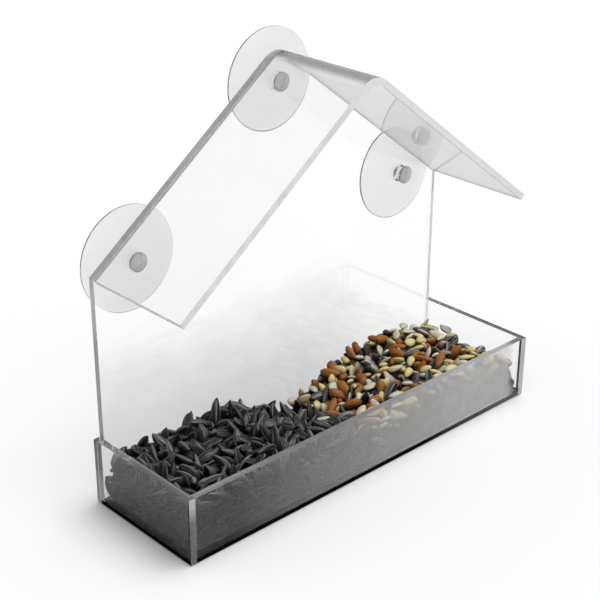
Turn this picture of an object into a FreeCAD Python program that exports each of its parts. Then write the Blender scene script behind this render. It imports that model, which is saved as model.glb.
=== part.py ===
import FreeCAD, Part
import math
import os
import Sketcher

# Window bird feeder: a clear house-shaped sheet with a bent roof and a seed tray,
# held on a window by three soft suction cups that sit in holes of the back sheet.
# Millimetres. +X to the right, -Y to the front, +Z up.
# The origin is the middle of the tray's underside.

doc = FreeCAD.newDocument("window_bird_feeder")

# ---------------------------------------------------------------- driving sizes
dims = doc.addObject("Spreadsheet::Sheet", "Dims")
DIMS = [
    # overall
    ("tray_width", 200.0),      # outside of the side walls
    ("tray_depth", 61.0),       # front face to rear face
    ("tray_height", 29.4),      # rim of the walls above the underside
    ("wall_sheet", 3.0),        # thickness of walls, back and roof
    ("base_sheet", 2.0),        # thickness of the tray's floor
    # back sheet outline
    ("eave_height", 99.4),      # where the slopes start
    ("peak_height", 173.4),     # where the two slopes would meet without the bend
    ("ridge_radius", 10.5),      # outside radius of the bend at the ridge
    # roof
    ("roof_depth", 52.7),       # in front of the back sheet
    # cup places on the back sheet
    ("cup_side_x", 75.4),
    ("cup_side_z", 99.9),
    ("cup_top_z", 157.2),
    # suction cup, measured from the rear face of the back sheet
    ("stem_radius", 3.0),
    ("hole_radius", 3.05),
    ("axial_play", 0.1),
    ("head_radius", 4.1),
    ("head_foot_radius", 3.7),
    ("head_flank", 0.5),
    ("head_side", 0.7),
    ("head_dome", 1.0),
    ("neck_radius", 3.9),
    ("neck_length", 1.2),
    ("cup_radius", 22.2),
    ("rim_land", 1.2),
    ("rim_edge", 0.8),
    ("cup_reach", 5.0),
    ("cup_hollow", 2.4),
    ("cup_back_radius", 45.0),
]
V = dict(DIMS)
for row, (alias, value) in enumerate(DIMS, start=1):
    dims.set("A%d" % row, alias)
    dims.set("B%d" % row, repr(value))
    dims.setAlias("B%d" % row, alias)
doc.recompute()


# ---------------------------------------------------------------- small helpers
def origin_plane(body, role):
    for feature in body.Origin.OriginFeatures:
        if feature.Role == role:
            return feature
    raise RuntimeError("no origin plane " + role)


def new_body(label):
    body = doc.addObject("PartDesign::Body", "Body_" + label)
    body.Label = label
    return body


def new_sketch(body, name, role):
    sketch = body.newObject("Sketcher::SketchObject", name)
    sketch.AttachmentSupport = (origin_plane(body, role), [""])
    sketch.MapMode = "FlatFace"
    return sketch


def vec(x, y):
    return FreeCAD.Vector(x, y, 0)


def bind(sketch, name, kind, refs, value, expression):
    """One named sketch dimension that follows the sheet."""
    index = sketch.addConstraint(Sketcher.Constraint(kind, *refs, value))
    sketch.renameConstraint(index, name)
    sketch.setExpression("Constraints." + name, expression)


def pad(body, name, sketch, length):
    feature = body.newObject("PartDesign::Pad", name)
    feature.Profile = sketch
    feature.setExpression("Length", length)
    sketch.Visibility = False
    return feature


def place(body, **base):
    for axis, expression in base.items():
        body.setExpression("Placement.Base." + axis, expression)


def rectangle(sketch, left, right, low, high, names):
    """Rectangle about the sketch origin: names gives the expressions of its four sides."""
    corners = [vec(left, low), vec(right, low), vec(right, high), vec(left, high)]
    for i in range(4):
        sketch.addGeometry(Part.LineSegment(corners[i], corners[(i + 1) % 4]), False)
    for i in range(4):
        sketch.addConstraint(Sketcher.Constraint("Coincident", i, 2, (i + 1) % 4, 1))
    for i, kind in enumerate(("Horizontal", "Vertical", "Horizontal", "Vertical")):
        sketch.addConstraint(Sketcher.Constraint(kind, i))
    bind(sketch, "to_left", "DistanceX", (0, 1, -1, 1), -left, names[0])
    bind(sketch, "to_right", "DistanceX", (-1, 1, 0, 2), right, names[1])
    if abs(low) < 1e-9:
        sketch.addConstraint(Sketcher.Constraint("PointOnObject", 0, 1, -1))
    else:
        bind(sketch, "to_low", "DistanceY", (0, 1, -1, 1), -low, names[2])
    bind(sketch, "to_high", "DistanceY", (-1, 1, 2, 1), high, names[3])


HALF_IN = "Dims.tray_width / 2 - Dims.wall_sheet"
half_in = V["tray_width"] / 2 - V["wall_sheet"]
half_d = V["tray_depth"] / 2

# ---------------------------------------------------------------- tray
# Floor: lies between the walls and in front of the back sheet.
tray_base = new_body("tray_base")
sk = new_sketch(tray_base, "tray_base_outline", "XY_Plane")
HALF_DEEP = "Dims.tray_depth / 2 - Dims.wall_sheet"
half_deep = half_d - V["wall_sheet"]
rectangle(sk, -half_in, half_in, -half_deep, half_deep, (HALF_IN, HALF_IN, HALF_DEEP, HALF_DEEP))
pad(tray_base, "tray_base_sheet", sk, "Dims.base_sheet")

# Side walls: full depth, so that their front ends show beside the front wall.
for label, x in (
    ("tray_left_wall", "-Dims.tray_width / 2"),
    ("tray_right_wall", "Dims.tray_width / 2 - Dims.wall_sheet"),
):
    wall = new_body(label)
    sk = new_sketch(wall, label + "_outline", "YZ_Plane")
    rectangle(
        sk, -half_d, half_d, 0.0, V["tray_height"],
        ("Dims.tray_depth / 2", "Dims.tray_depth / 2", None, "Dims.tray_height"),
    )
    pad(wall, label + "_sheet", sk, "Dims.wall_sheet")
    place(wall, x=x)

# Front wall: between the side walls.
front = new_body("tray_front_wall")
sk = new_sketch(front, "tray_front_wall_outline", "XZ_Plane")
rectangle(sk, -half_in, half_in, 0.0, V["tray_height"], (HALF_IN, HALF_IN, None, "Dims.tray_height"))
pad(front, "tray_front_wall_sheet", sk, "Dims.wall_sheet")
place(front, y="Dims.wall_sheet - Dims.tray_depth / 2")

# ---------------------------------------------------------------- back sheet
slope = math.atan2(V["peak_height"] - V["eave_height"], half_in)
SLOPE = "atan2(Dims.peak_height - Dims.eave_height; %s)" % HALF_IN
R_OUT = V["ridge_radius"]
# tangent points and centre of the rounded peak
peak_centre_z = V["peak_height"] - R_OUT / math.cos(slope)
tan_x = R_OUT * math.sin(slope)
tan_z = peak_centre_z + R_OUT * math.cos(slope)

back = new_body("back_panel")
sk = new_sketch(back, "back_panel_outline", "XZ_Plane")
e = V["eave_height"]
sk.addGeometry(Part.LineSegment(vec(-half_in, 0), vec(half_in, 0)), False)           # 0 bottom
sk.addGeometry(Part.LineSegment(vec(half_in, 0), vec(half_in, e)), False)            # 1 right side
sk.addGeometry(Part.LineSegment(vec(half_in, e), vec(tan_x, tan_z)), False)          # 2 right slope
sk.addGeometry(
    Part.ArcOfCircle(
        Part.Circle(vec(0, peak_centre_z), FreeCAD.Vector(0, 0, 1), R_OUT),
        math.pi / 2 - slope, math.pi / 2 + slope,
    ), False,
)                                                                                     # 3 peak
sk.addGeometry(Part.LineSegment(vec(-tan_x, tan_z), vec(-half_in, e)), False)        # 4 left slope
sk.addGeometry(Part.LineSegment(vec(-half_in, e), vec(-half_in, 0)), False)          # 5 left side
C = Sketcher.Constraint
for a, b in ((0, 1), (1, 2), (4, 5), (5, 0)):
    sk.addConstraint(C("Coincident", a, 2, b, 1))
sk.addConstraint(C("Tangent", 2, 2, 3, 1))
sk.addConstraint(C("Tangent", 3, 2, 4, 1))
sk.addConstraint(C("PointOnObject", 0, 1, -1))
sk.addConstraint(C("Horizontal", 0))
sk.addConstraint(C("Vertical", 1))
sk.addConstraint(C("Vertical", 5))
sk.addConstraint(C("PointOnObject", 3, 3, -2))
bind(sk, "to_left", "DistanceX", (0, 1, -1, 1), half_in, HALF_IN)
bind(sk, "to_right", "DistanceX", (-1, 1, 0, 2), half_in, HALF_IN)
bind(sk, "eave", "DistanceY", (-1, 1, 1, 2), e, "Dims.eave_height")
bind(sk, "eave_left", "DistanceY", (-1, 1, 4, 2), e, "Dims.eave_height")
bind(sk, "peak_radius", "Radius", (3,), R_OUT, "Dims.ridge_radius")
bind(
    sk, "peak_centre", "DistanceY", (-1, 1, 3, 3), peak_centre_z,
    "Dims.peak_height - Dims.ridge_radius / cos(%s)" % SLOPE,
)
back_sheet = pad(back, "back_panel_sheet", sk, "Dims.wall_sheet")
doc.recompute()
solid_volume = back_sheet.Shape.Volume

# Three round holes for the stems of the cups.
sk = new_sketch(back, "cup_holes", "XZ_Plane")
HOLES = (
    ("top", 0.0, V["cup_top_z"], None, "Dims.cup_top_z"),
    ("left", -V["cup_side_x"], V["cup_side_z"], "Dims.cup_side_x", "Dims.cup_side_z"),
    ("right", V["cup_side_x"], V["cup_side_z"], "Dims.cup_side_x", "Dims.cup_side_z"),
)
for i, (name, x, z, x_expr, z_expr) in enumerate(HOLES):
    sk.addGeometry(Part.Circle(vec(x, z), FreeCAD.Vector(0, 0, 1), V["hole_radius"]), False)
    bind(sk, "radius_" + name, "Radius", (i,), V["hole_radius"], "Dims.hole_radius")
    if x_expr is None:
        sk.addConstraint(C("PointOnObject", i, 3, -2))
    elif x < 0:
        bind(sk, "x_" + name, "DistanceX", (i, 3, -1, 1), -x, x_expr)
    else:
        bind(sk, "x_" + name, "DistanceX", (-1, 1, i, 3), x, x_expr)
    bind(sk, "z_" + name, "DistanceY", (-1, 1, i, 3), z, z_expr)
holes = back.newObject("PartDesign::Pocket", "cup_hole_cuts")
holes.Profile = sk
holes.Type = "ThroughAll"
holes.Midplane = True
sk.Visibility = False
place(back, y="Dims.tray_depth / 2")
doc.recompute()
expected = solid_volume - 3 * math.pi * V["hole_radius"] ** 2 * V["wall_sheet"]
if abs(holes.Shape.Volume - expected) > 0.01:
    raise RuntimeError("the cup holes do not go through the back sheet")

# ---------------------------------------------------------------- roof
# One sheet bent over the ridge. Its outside is flush with the slopes of the back sheet.
T = V["wall_sheet"]
R_IN = R_OUT - T
s, c = math.sin(slope), math.cos(slope)
outer_l = (-half_in, e)
inner_l = (-half_in + T * s, e - T * c)
in_x = R_IN * s
in_z = peak_centre_z + R_IN * c

roof = new_body("roof")
sk = new_sketch(roof, "roof_profile", "XZ_Plane")
Z = FreeCAD.Vector(0, 0, 1)
sk.addGeometry(Part.LineSegment(vec(half_in, e), vec(tan_x, tan_z)), False)                     # 0 outside right
sk.addGeometry(Part.ArcOfCircle(Part.Circle(vec(0, peak_centre_z), Z, R_OUT),
                                math.pi / 2 - slope, math.pi / 2 + slope), False)               # 1 outside bend
sk.addGeometry(Part.LineSegment(vec(-tan_x, tan_z), vec(*outer_l)), False)                      # 2 outside left
sk.addGeometry(Part.LineSegment(vec(*outer_l), vec(*inner_l)), False)                           # 3 left eave end
sk.addGeometry(Part.LineSegment(vec(*inner_l), vec(-in_x, in_z)), False)                        # 4 inside left
sk.addGeometry(Part.ArcOfCircle(Part.Circle(vec(0, peak_centre_z), Z, R_IN),
                                math.pi / 2 - slope, math.pi / 2 + slope), False)               # 5 inside bend
sk.addGeometry(Part.LineSegment(vec(in_x, in_z), vec(-inner_l[0], inner_l[1])), False)          # 6 inside right
sk.addGeometry(Part.LineSegment(vec(-inner_l[0], inner_l[1]), vec(half_in, e)), False)          # 7 right eave end
for a, b in ((2, 3), (3, 4), (6, 7), (7, 0)):
    sk.addConstraint(C("Coincident", a, 2, b, 1))
sk.addConstraint(C("Tangent", 0, 2, 1, 1))
sk.addConstraint(C("Tangent", 1, 2, 2, 1))
sk.addConstraint(C("Tangent", 4, 2, 5, 2))
sk.addConstraint(C("Tangent", 5, 1, 6, 1))
sk.addConstraint(C("Coincident", 1, 3, 5, 3))
sk.addConstraint(C("PointOnObject", 1, 3, -2))
sk.addConstraint(C("Perpendicular", 3, 2))
sk.addConstraint(C("Perpendicular", 7, 0))
bind(sk, "outside_radius", "Radius", (1,), R_OUT, "Dims.ridge_radius")
bind(sk, "inside_radius", "Radius", (5,), R_IN, "Dims.ridge_radius - Dims.wall_sheet")
bind(
    sk, "bend_centre", "DistanceY", (-1, 1, 1, 3), peak_centre_z,
    "Dims.peak_height - Dims.ridge_radius / cos(%s)" % SLOPE,
)
bind(sk, "eave_right_x", "DistanceX", (-1, 1, 0, 1), half_in, HALF_IN)
bind(sk, "eave_right_z", "DistanceY", (-1, 1, 0, 1), e, "Dims.eave_height")
bind(sk, "eave_left_x", "DistanceX", (2, 2, -1, 1), half_in, HALF_IN)
bind(sk, "eave_left_z", "DistanceY", (-1, 1, 2, 2), e, "Dims.eave_height")
pad(roof, "roof_sheet", sk, "Dims.roof_depth")
place(roof, y="Dims.tray_depth / 2 - Dims.wall_sheet")

# ---------------------------------------------------------------- suction cups
# One moulding each: mushroom head, stem, neck and dish, turned about the stem.
# The sketch's X is the radius and its Y runs from the room to the window.
FRONT = -(V["wall_sheet"] + V["axial_play"])          # under the head
u_head_side = FRONT - V["head_flank"]
u_head_edge = u_head_side - V["head_side"]
u_head_top = u_head_edge - V["head_dome"]
u_neck = V["axial_play"]
u_dish = u_neck + V["neck_length"]
u_rim = V["cup_reach"]
r_land = V["cup_radius"] - V["rim_land"]

FRONT_E = "Dims.wall_sheet + Dims.axial_play"
SIDE_E = FRONT_E + " + Dims.head_flank"
EDGE_E = SIDE_E + " + Dims.head_side"
TOP_E = EDGE_E + " + Dims.head_dome"
# (radius, position along the stem, radius expression, position expression)
P = [
    (0.0, u_head_top, None, TOP_E),
    (V["head_radius"], u_head_edge, "Dims.head_radius", EDGE_E),
    (V["head_radius"], u_head_side, "Dims.head_radius", SIDE_E),
    (V["head_foot_radius"], FRONT, "Dims.head_foot_radius", FRONT_E),
    (V["stem_radius"], FRONT, "Dims.stem_radius", FRONT_E),
    (V["stem_radius"], u_neck, "Dims.stem_radius", "Dims.axial_play"),
    (V["neck_radius"], u_neck, "Dims.neck_radius", "Dims.axial_play"),
    (V["neck_radius"], u_dish, "Dims.neck_radius", "Dims.axial_play + Dims.neck_length"),
    (V["cup_radius"], u_rim - V["rim_edge"], "Dims.cup_radius", "Dims.cup_reach - Dims.rim_edge"),
    (V["cup_radius"], u_rim, "Dims.cup_radius", "Dims.cup_reach"),
    (r_land, u_rim, "Dims.cup_radius - Dims.rim_land", "Dims.cup_reach"),
    (0.0, u_rim - V["cup_hollow"], None, "Dims.cup_reach - Dims.cup_hollow"),
]
N = len(P)


def arc_between(centre, a, b):
    """Arc of a circle about centre, counter-clockwise from a to b."""
    radius = math.hypot(a[0] - centre[0], a[1] - centre[1])
    start = math.atan2(a[1] - centre[1], a[0] - centre[0])
    end = math.atan2(b[1] - centre[1], b[0] - centre[0])
    return Part.ArcOfCircle(Part.Circle(vec(*centre), Z, radius), start, end)


# dome of the head: centre on the axis
dome_r = (V["head_radius"] ** 2 + V["head_dome"] ** 2) / (2 * V["head_dome"])
dome_c = (0.0, u_head_top + dome_r)
# hollow of the dish: centre on the axis, on the window side
hollow_r = (r_land ** 2 + V["cup_hollow"] ** 2) / (2 * V["cup_hollow"])
hollow_c = (0.0, u_rim - V["cup_hollow"] + hollow_r)
# back of the dish: bulges towards the back sheet
ax, ay = P[7][:2]
bx, by = P[8][:2]
chord = math.hypot(bx - ax, by - ay)
rise = math.sqrt(V["cup_back_radius"] ** 2 - (chord / 2) ** 2)
nx, ny = -(by - ay) / chord, (bx - ax) / chord
back_c = ((ax + bx) / 2 + nx * rise, (ay + by) / 2 + ny * rise)

for label, x_expr, z_expr in (
    ("suction_cup_top", "0", "Dims.cup_top_z"),
    ("suction_cup_left", "-Dims.cup_side_x", "Dims.cup_side_z"),
    ("suction_cup_right", "Dims.cup_side_x", "Dims.cup_side_z"),
):
    cup = new_body(label)
    sk = new_sketch(cup, label + "_profile", "XY_Plane")
    # every edge, in order: which geometry end lies on point i and on point i + 1
    ends = []
    for i in range(N):
        a, b = P[i][:2], P[(i + 1) % N][:2]
        if i == 0:
            sk.addGeometry(arc_between(dome_c, a, b), False)
            ends.append((1, 2))
        elif i == 7:
            sk.addGeometry(arc_between(back_c, a, b), False)
            ends.append((1, 2))
        elif i == 10:
            sk.addGeometry(arc_between(hollow_c, b, a), False)
            ends.append((2, 1))
        else:
            sk.addGeometry(Part.LineSegment(vec(*a), vec(*b)), False)
            ends.append((1, 2))
    for i in range(N):
        j = (i + 1) % N
        sk.addConstraint(C("Coincident", i, ends[i][1], j, ends[j][0]))
    for i, (r, u, r_expr, u_expr) in enumerate(P):
        pos = ends[i][0]
        if r_expr is None:
            sk.addConstraint(C("PointOnObject", i, pos, -2))
        else:
            bind(sk, "r%d" % i, "DistanceX", (-1, 1, i, pos), r, r_expr)
        if u < 0:
            bind(sk, "u%d" % i, "DistanceY", (i, pos, -1, 1), -u, u_expr)
        else:
            bind(sk, "u%d" % i, "DistanceY", (-1, 1, i, pos), u, u_expr)
    sk.addConstraint(C("PointOnObject", 0, 3, -2))
    sk.addConstraint(C("PointOnObject", 10, 3, -2))
    bind(sk, "back_radius", "Radius", (7,), V["cup_back_radius"], "Dims.cup_back_radius")
    turn = cup.newObject("PartDesign::Revolution", label + "_turned")
    turn.Profile = sk
    turn.ReferenceAxis = (sk, ["V_Axis"])
    turn.Angle = 360.0
    sk.Visibility = False
    place(cup, x=x_expr, y="Dims.tray_depth / 2", z=z_expr)

doc.recompute()

# ---------------------------------------------------------------- checks and files
for obj in doc.Objects:
    if any(flag in obj.State for flag in ("Invalid", "Error")):
        raise RuntimeError("%s failed: %s" % (obj.Label, obj.State))

bodies = [o for o in doc.Objects if o.TypeId == "PartDesign::Body"]
for body in bodies:
    shape = body.Shape
    if shape.isNull() or not shape.isValid() or len(shape.Solids) != 1:
        raise RuntimeError("%s has no valid single solid" % body.Label)

os.makedirs("parts", exist_ok=True)
for body in bodies:
    box = body.Shape.BoundBox
    print("%-18s volume %10.2f  x %8.3f %8.3f  y %8.3f %8.3f  z %8.3f %8.3f" % (
        body.Label, body.Shape.Volume, box.XMin, box.XMax, box.YMin, box.YMax, box.ZMin, box.ZMax))
    body.Shape.exportStep(os.path.join("parts", body.Label + ".step"))
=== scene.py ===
import math
import random

import bmesh
import bpy
import numpy as np
from mathutils import Euler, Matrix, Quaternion, Vector
from mathutils.geometry import tessellate_polygon


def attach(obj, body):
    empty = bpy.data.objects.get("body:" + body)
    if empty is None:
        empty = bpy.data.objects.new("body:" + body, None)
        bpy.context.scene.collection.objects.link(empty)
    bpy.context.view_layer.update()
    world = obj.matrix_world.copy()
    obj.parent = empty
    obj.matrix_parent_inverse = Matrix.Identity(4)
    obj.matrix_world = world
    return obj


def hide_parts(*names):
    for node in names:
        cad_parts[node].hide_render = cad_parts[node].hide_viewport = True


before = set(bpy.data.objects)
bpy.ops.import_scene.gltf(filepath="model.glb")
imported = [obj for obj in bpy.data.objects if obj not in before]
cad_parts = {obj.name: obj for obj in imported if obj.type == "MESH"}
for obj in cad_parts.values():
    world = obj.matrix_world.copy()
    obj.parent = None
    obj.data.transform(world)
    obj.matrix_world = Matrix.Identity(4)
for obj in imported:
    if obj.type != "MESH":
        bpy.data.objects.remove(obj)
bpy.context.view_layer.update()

MM = 0.001
scene = bpy.context.scene

# ------------------------------------------------------------------ sizes (mm), as in the CAD
WIDTH, DEPTH, RIM = 200.0, 61.0, 29.4
SHEET, BASE = 3.0, 2.0
EAVE, PEAK, RIDGE = 99.4, 173.4, 10.5
ROOF_DEEP = 52.7
CUP_X, CUP_Z, CUP_TOP = 75.4, 99.9, 157.2
HOLE = 3.05
GAP = 0.03            # each sheet stands this far back from its neighbours
EDGE = 0.20           # broken edge of the cut sheet
IN_X = WIDTH / 2 - SHEET
HALF_D = DEPTH / 2
SLOPE = math.atan2(PEAK - EAVE, IN_X)
BEND_Z = PEAK - RIDGE / math.cos(SLOPE)


# ------------------------------------------------------------------ shader helpers
class Nodes:
    def __init__(self, name):
        self.mat = bpy.data.materials.new(name)
        self.mat.use_nodes = True
        self.tree = self.mat.node_tree
        self.tree.nodes.clear()
        self.out = self.add("ShaderNodeOutputMaterial")

    def add(self, kind, **props):
        node = self.tree.nodes.new(kind)
        for key, value in props.items():
            setattr(node, key, value)
        return node

    def link(self, a, b):
        self.tree.links.new(a, b)

    def ramp(self, fac, stops, interpolation="LINEAR"):
        node = self.add("ShaderNodeValToRGB")
        node.color_ramp.interpolation = interpolation
        elements = node.color_ramp.elements
        while len(elements) < len(stops):
            elements.new(0.5)
        for element, (pos, colour) in zip(elements, stops):
            element.position = pos
            element.color = tuple(colour) + (1.0,) if len(colour) == 3 else colour
        self.link(fac, node.inputs["Fac"])
        return node.outputs["Color"]

    def noise(self, vector, scale, detail=3.0, rough=0.55):
        node = self.add("ShaderNodeTexNoise")
        node.inputs["Scale"].default_value = scale
        node.inputs["Detail"].default_value = detail
        node.inputs["Roughness"].default_value = rough
        self.link(vector, node.inputs["Vector"])
        return node.outputs["Fac"]

    def mapping(self, vector, scale=(1, 1, 1), location=(0, 0, 0)):
        node = self.add("ShaderNodeMapping")
        node.inputs["Scale"].default_value = scale
        node.inputs["Location"].default_value = location
        self.link(vector, node.inputs["Vector"])
        return node.outputs["Vector"]

    def math(self, op, a, b, clamp=False):
        node = self.add("ShaderNodeMath", operation=op, use_clamp=clamp)
        for socket, value in zip(node.inputs, (a, b)):
            if isinstance(value, (int, float)):
                socket.default_value = value
            else:
                self.link(value, socket)
        return node.outputs[0]

    def range(self, value, low, high, to_low, to_high):
        node = self.add("ShaderNodeMapRange")
        self.link(value, node.inputs["Value"])
        for name, v in (("From Min", low), ("From Max", high), ("To Min", to_low), ("To Max", to_high)):
            node.inputs[name].default_value = v
        return node.outputs["Result"]

    def mix(self, fac, a, b, blend="MIX"):
        node = self.add("ShaderNodeMix", data_type="RGBA", blend_type=blend)
        for socket, value in ((node.inputs[0], fac), (node.inputs[6], a), (node.inputs[7], b)):
            if isinstance(value, (int, float)):
                socket.default_value = value
            elif isinstance(value, tuple):
                socket.default_value = value + (1.0,)
            else:
                self.link(value, socket)
        return node.outputs[2]

    def bump(self, height, strength, distance, normal=None):
        node = self.add("ShaderNodeBump")
        node.inputs["Strength"].default_value = strength
        node.inputs["Distance"].default_value = distance
        self.link(height, node.inputs["Height"])
        if normal is not None:
            self.link(normal, node.inputs["Normal"])
        return node.outputs["Normal"]

    def principled(self, **values):
        node = self.add("ShaderNodeBsdfPrincipled")
        for key, value in values.items():
            node.inputs[key.replace("_", " ")].default_value = value
        return node


def clear_sheet(name, ior, density, tint, shadow, dust_and_reflection=0.0, shadow_film=1.0, shade_veil=1.0, level=0.5, rubbed=False, foot=False, matt=0.60):
    """Clear cast acrylic: polished faces with faint handling marks. Where the sheet is solvent-welded
    to its neighbour the two are one, so light passes straight on, past a few tiny bubbles."""
    n = Nodes(name)
    place = n.add("ShaderNodeTexCoord").outputs["Object"]
    smear = n.noise(n.mapping(place, (14, 14, 30)), 3.0, 4.0, 0.6)
    glass = n.principled(Transmission_Weight=1.0, IOR=ior)
    glass.inputs["Specular IOR Level"].default_value = level
    if shade_veil < 1.0:
        # painted shade: a grey coat tint which dims the surface more at a shallow angle
        for key, value in (("Coat Weight", 1.0), ("Coat Roughness", 0.0), ("Coat IOR", 1.0), ("Coat Tint", (shade_veil, shade_veil, shade_veil, 1.0))):
            glass.inputs[key].default_value = value
    # the faces are polished and the cut edges are only buffed
    cut = n.add("ShaderNodeAttribute", attribute_name="cut").outputs["Fac"]
    n.link(n.math("MULTIPLY", cut, n.range(n.noise(place, 240.0, 2.0, 0.5), 0.3, 0.7, 0.09, 0.13)), glass.inputs["Roughness"])
    marks = n.ramp(smear, [(0.30, (0.987, 0.987, 0.987)), (0.75, (1.0, 1.0, 1.0))])
    if shadow_film < 1.0:
        # painted shadow: the sheet is greyed just above the seed and more towards the left, standing in for the tray's
        # shadow on the floor behind
        up = n.add("ShaderNodeSeparateXYZ")
        n.link(place, up.inputs["Vector"])
        height = n.math("ADD", up.outputs["Z"], n.range(smear, 0.2, 0.8, -0.012, 0.012))
        grey = n.math("MULTIPLY", n.range(height, 0.030, 0.073, 1.0 - shadow_film, 0.0), n.range(up.outputs["X"], 0.015, 0.060, 1.0, 0.0))
        marks = n.mix(1.0, marks, n.math("SUBTRACT", 1.0, grey), "MULTIPLY")
    # sawn edges that were left matt
    edge = n.add("ShaderNodeAttribute", attribute_name="frost").outputs["Fac"]
    frost = n.math("MULTIPLY", edge, n.range(n.noise(place, 90.0, 3.0, 0.6), 0.25, 0.75, 0.85, 1.15))
    if rubbed:
        # handling has rubbed the lower part of the left wall's ends smooth
        tall = n.add("ShaderNodeSeparateXYZ")
        n.link(place, tall.inputs["Vector"])
        worn = n.math("MAXIMUM", n.range(tall.outputs["Z"], 0.019, 0.026, 0.20, 1.0), n.range(tall.outputs["X"], 0.0, 0.05, 0.0, 1.0))
        frost = n.math("MULTIPLY", frost, worn)
    shade = n.mix(n.math("MULTIPLY", frost, 2.0, True), marks, (matt, matt, matt))
    if foot:
        # painted shade: the lowest outer strip of the wall is painted near black beside the black seed and grey towards
        # the pale seed, in place of its reflection of the pale floor
        along = n.add("ShaderNodeSeparateXYZ")
        n.link(place, along.inputs["Vector"])
        dark = n.range(edge, 1.4, 1.6, 0.0, 1.0)
        shade = n.mix(dark, shade, n.range(along.outputs["X"], 0.032, 0.088, 0.003, 0.14))
        frost = n.math("MAXIMUM", frost, dark)
    n.link(shade, glass.inputs["Base Color"])
    n.link(n.bump(n.noise(place, 26.0, 1.0, 0.4), 0.02, 0.0004), glass.inputs["Normal"])
    n.link(n.math("SUBTRACT", 1.0, frost, True), glass.inputs["Transmission Weight"])
    if dust_and_reflection > 0.0:
        # seed dust on the wall and a painted pale reflection: a pale matt layer, thicker beside the mixed seed
        split = n.add("ShaderNodeSeparateXYZ")
        n.link(place, split.inputs["Vector"])
        side = n.math("MULTIPLY", n.range(split.outputs["X"], -0.078, 0.060, 0.0, 1.0), n.range(n.math("ADD", split.outputs["X"], n.range(smear, 0.2, 0.8, -0.004, 0.004)), 0.088, 0.0935, 1.0, 0.0))
        clumps = n.range(n.noise(place, 160.0, 3.0, 0.6), 0.2, 0.8, 0.8, 1.0)
        above = n.math("MULTIPLY", n.range(split.outputs["Z"], 0.0020, 0.0026, 0.0, 1.0), n.range(split.outputs["Z"], 0.0030, 0.0040, 1.35, 1.0))
        amount = n.math("MULTIPLY", n.math("MULTIPLY", n.math("MULTIPLY", side, clumps), above), dust_and_reflection)
        n.link(n.math("SUBTRACT", 1.0, n.math("MAXIMUM", amount, frost), True), glass.inputs["Transmission Weight"])
    through = n.add("ShaderNodeBsdfTransparent")
    through.inputs["Color"].default_value = (shadow, shadow, shadow, 1.0)
    pick = n.add("ShaderNodeMixShader")
    n.link(n.add("ShaderNodeLightPath").outputs["Is Shadow Ray"], pick.inputs["Fac"])
    n.link(glass.outputs["BSDF"], pick.inputs[1])
    n.link(through.outputs["BSDF"], pick.inputs[2])
    seam = n.add("ShaderNodeBsdfTransparent")
    n.link(n.ramp(n.noise(place, 700.0, 2.0, 0.5), [(0.22, (0.72, 0.72, 0.72)), (0.36, (0.99, 0.99, 0.99))]), seam.inputs["Color"])
    join = n.add("ShaderNodeMixShader")
    n.link(n.add("ShaderNodeAttribute", attribute_name="weld").outputs["Fac"], join.inputs["Fac"])
    n.link(pick.outputs["Shader"], join.inputs[1])
    n.link(seam.outputs["BSDF"], join.inputs[2])
    n.link(join.outputs["Shader"], n.out.inputs["Surface"])
    if density > 0.0:
        dim = n.add("ShaderNodeVolumeAbsorption")
        dim.inputs["Color"].default_value = tint + (1.0,)
        dim.inputs["Density"].default_value = density
        n.link(dim.outputs["Volume"], n.out.inputs["Volume"])
    return n.mat


def soft_vinyl(name):
    """Clear soft vinyl: slightly cloudy, satin from the mould, dimmer where it is thick and in its head."""
    n = Nodes(name)
    place = n.add("ShaderNodeTexCoord").outputs["Object"]
    cloud = n.noise(place, 60.0, 3.0, 0.55)
    grain = n.noise(place, 1400.0, 2.0, 0.5)
    head = n.add("ShaderNodeAttribute", attribute_name="head").outputs["Fac"]
    body = n.principled(IOR=1.36)
    n.link(n.range(head, 0.0, 1.0, 0.92, 0.72), body.inputs["Transmission Weight"])
    disc = n.ramp(cloud, [(0.25, (0.95, 0.95, 0.95)), (0.75, (0.98, 0.98, 0.98))])
    n.link(n.mix(head, disc, n.ramp(cloud, [(0.25, (0.46, 0.46, 0.46)), (0.75, (0.58, 0.58, 0.58))])), body.inputs["Base Color"])
    n.link(n.math("MULTIPLY", n.range(cloud, 0.3, 0.7, 0.10, 0.16), n.range(head, 0.0, 1.0, 1.0, 0.4)), body.inputs["Roughness"])
    n.link(n.bump(grain, 0.02, 0.00005), body.inputs["Normal"])
    through = n.add("ShaderNodeBsdfTransparent")
    through.inputs["Color"].default_value = (0.88, 0.88, 0.88, 1.0)
    pick = n.add("ShaderNodeMixShader")
    n.link(n.add("ShaderNodeLightPath").outputs["Is Shadow Ray"], pick.inputs["Fac"])
    n.link(body.outputs["BSDF"], pick.inputs[1])
    n.link(through.outputs["BSDF"], pick.inputs[2])
    # the stem sits tight in its hole and the neck against the sheet, so little shows there
    snug = n.add("ShaderNodeMixShader")
    n.link(n.add("ShaderNodeAttribute", attribute_name="snug").outputs["Fac"], snug.inputs["Fac"])
    n.link(pick.outputs["Shader"], snug.inputs[1])
    n.link(n.add("ShaderNodeBsdfTransparent").outputs["BSDF"], snug.inputs[2])
    n.link(snug.outputs["Shader"], n.out.inputs["Surface"])
    dim = n.add("ShaderNodeVolumeAbsorption")
    dim.inputs["Color"].default_value = (0.30, 0.30, 0.30, 1.0)
    dim.inputs["Density"].default_value = 52.0
    n.link(dim.outputs["Volume"], n.out.inputs["Volume"])
    return n.mat


# ------------------------------------------------------------------ mesh helpers
def new_piece(name, verts, faces, material, body, smooth=None):
    mesh = bpy.data.meshes.new(name)
    mesh.from_pydata([tuple(c * MM for c in v) for v in verts], [], faces)
    mesh.update()
    if smooth is not None:
        mesh.polygons.foreach_set("use_smooth", smooth)
    obj = bpy.data.objects.new(name, mesh)
    scene.collection.objects.link(obj)
    mesh.materials.append(material)
    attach(obj, body)
    return obj


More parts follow.
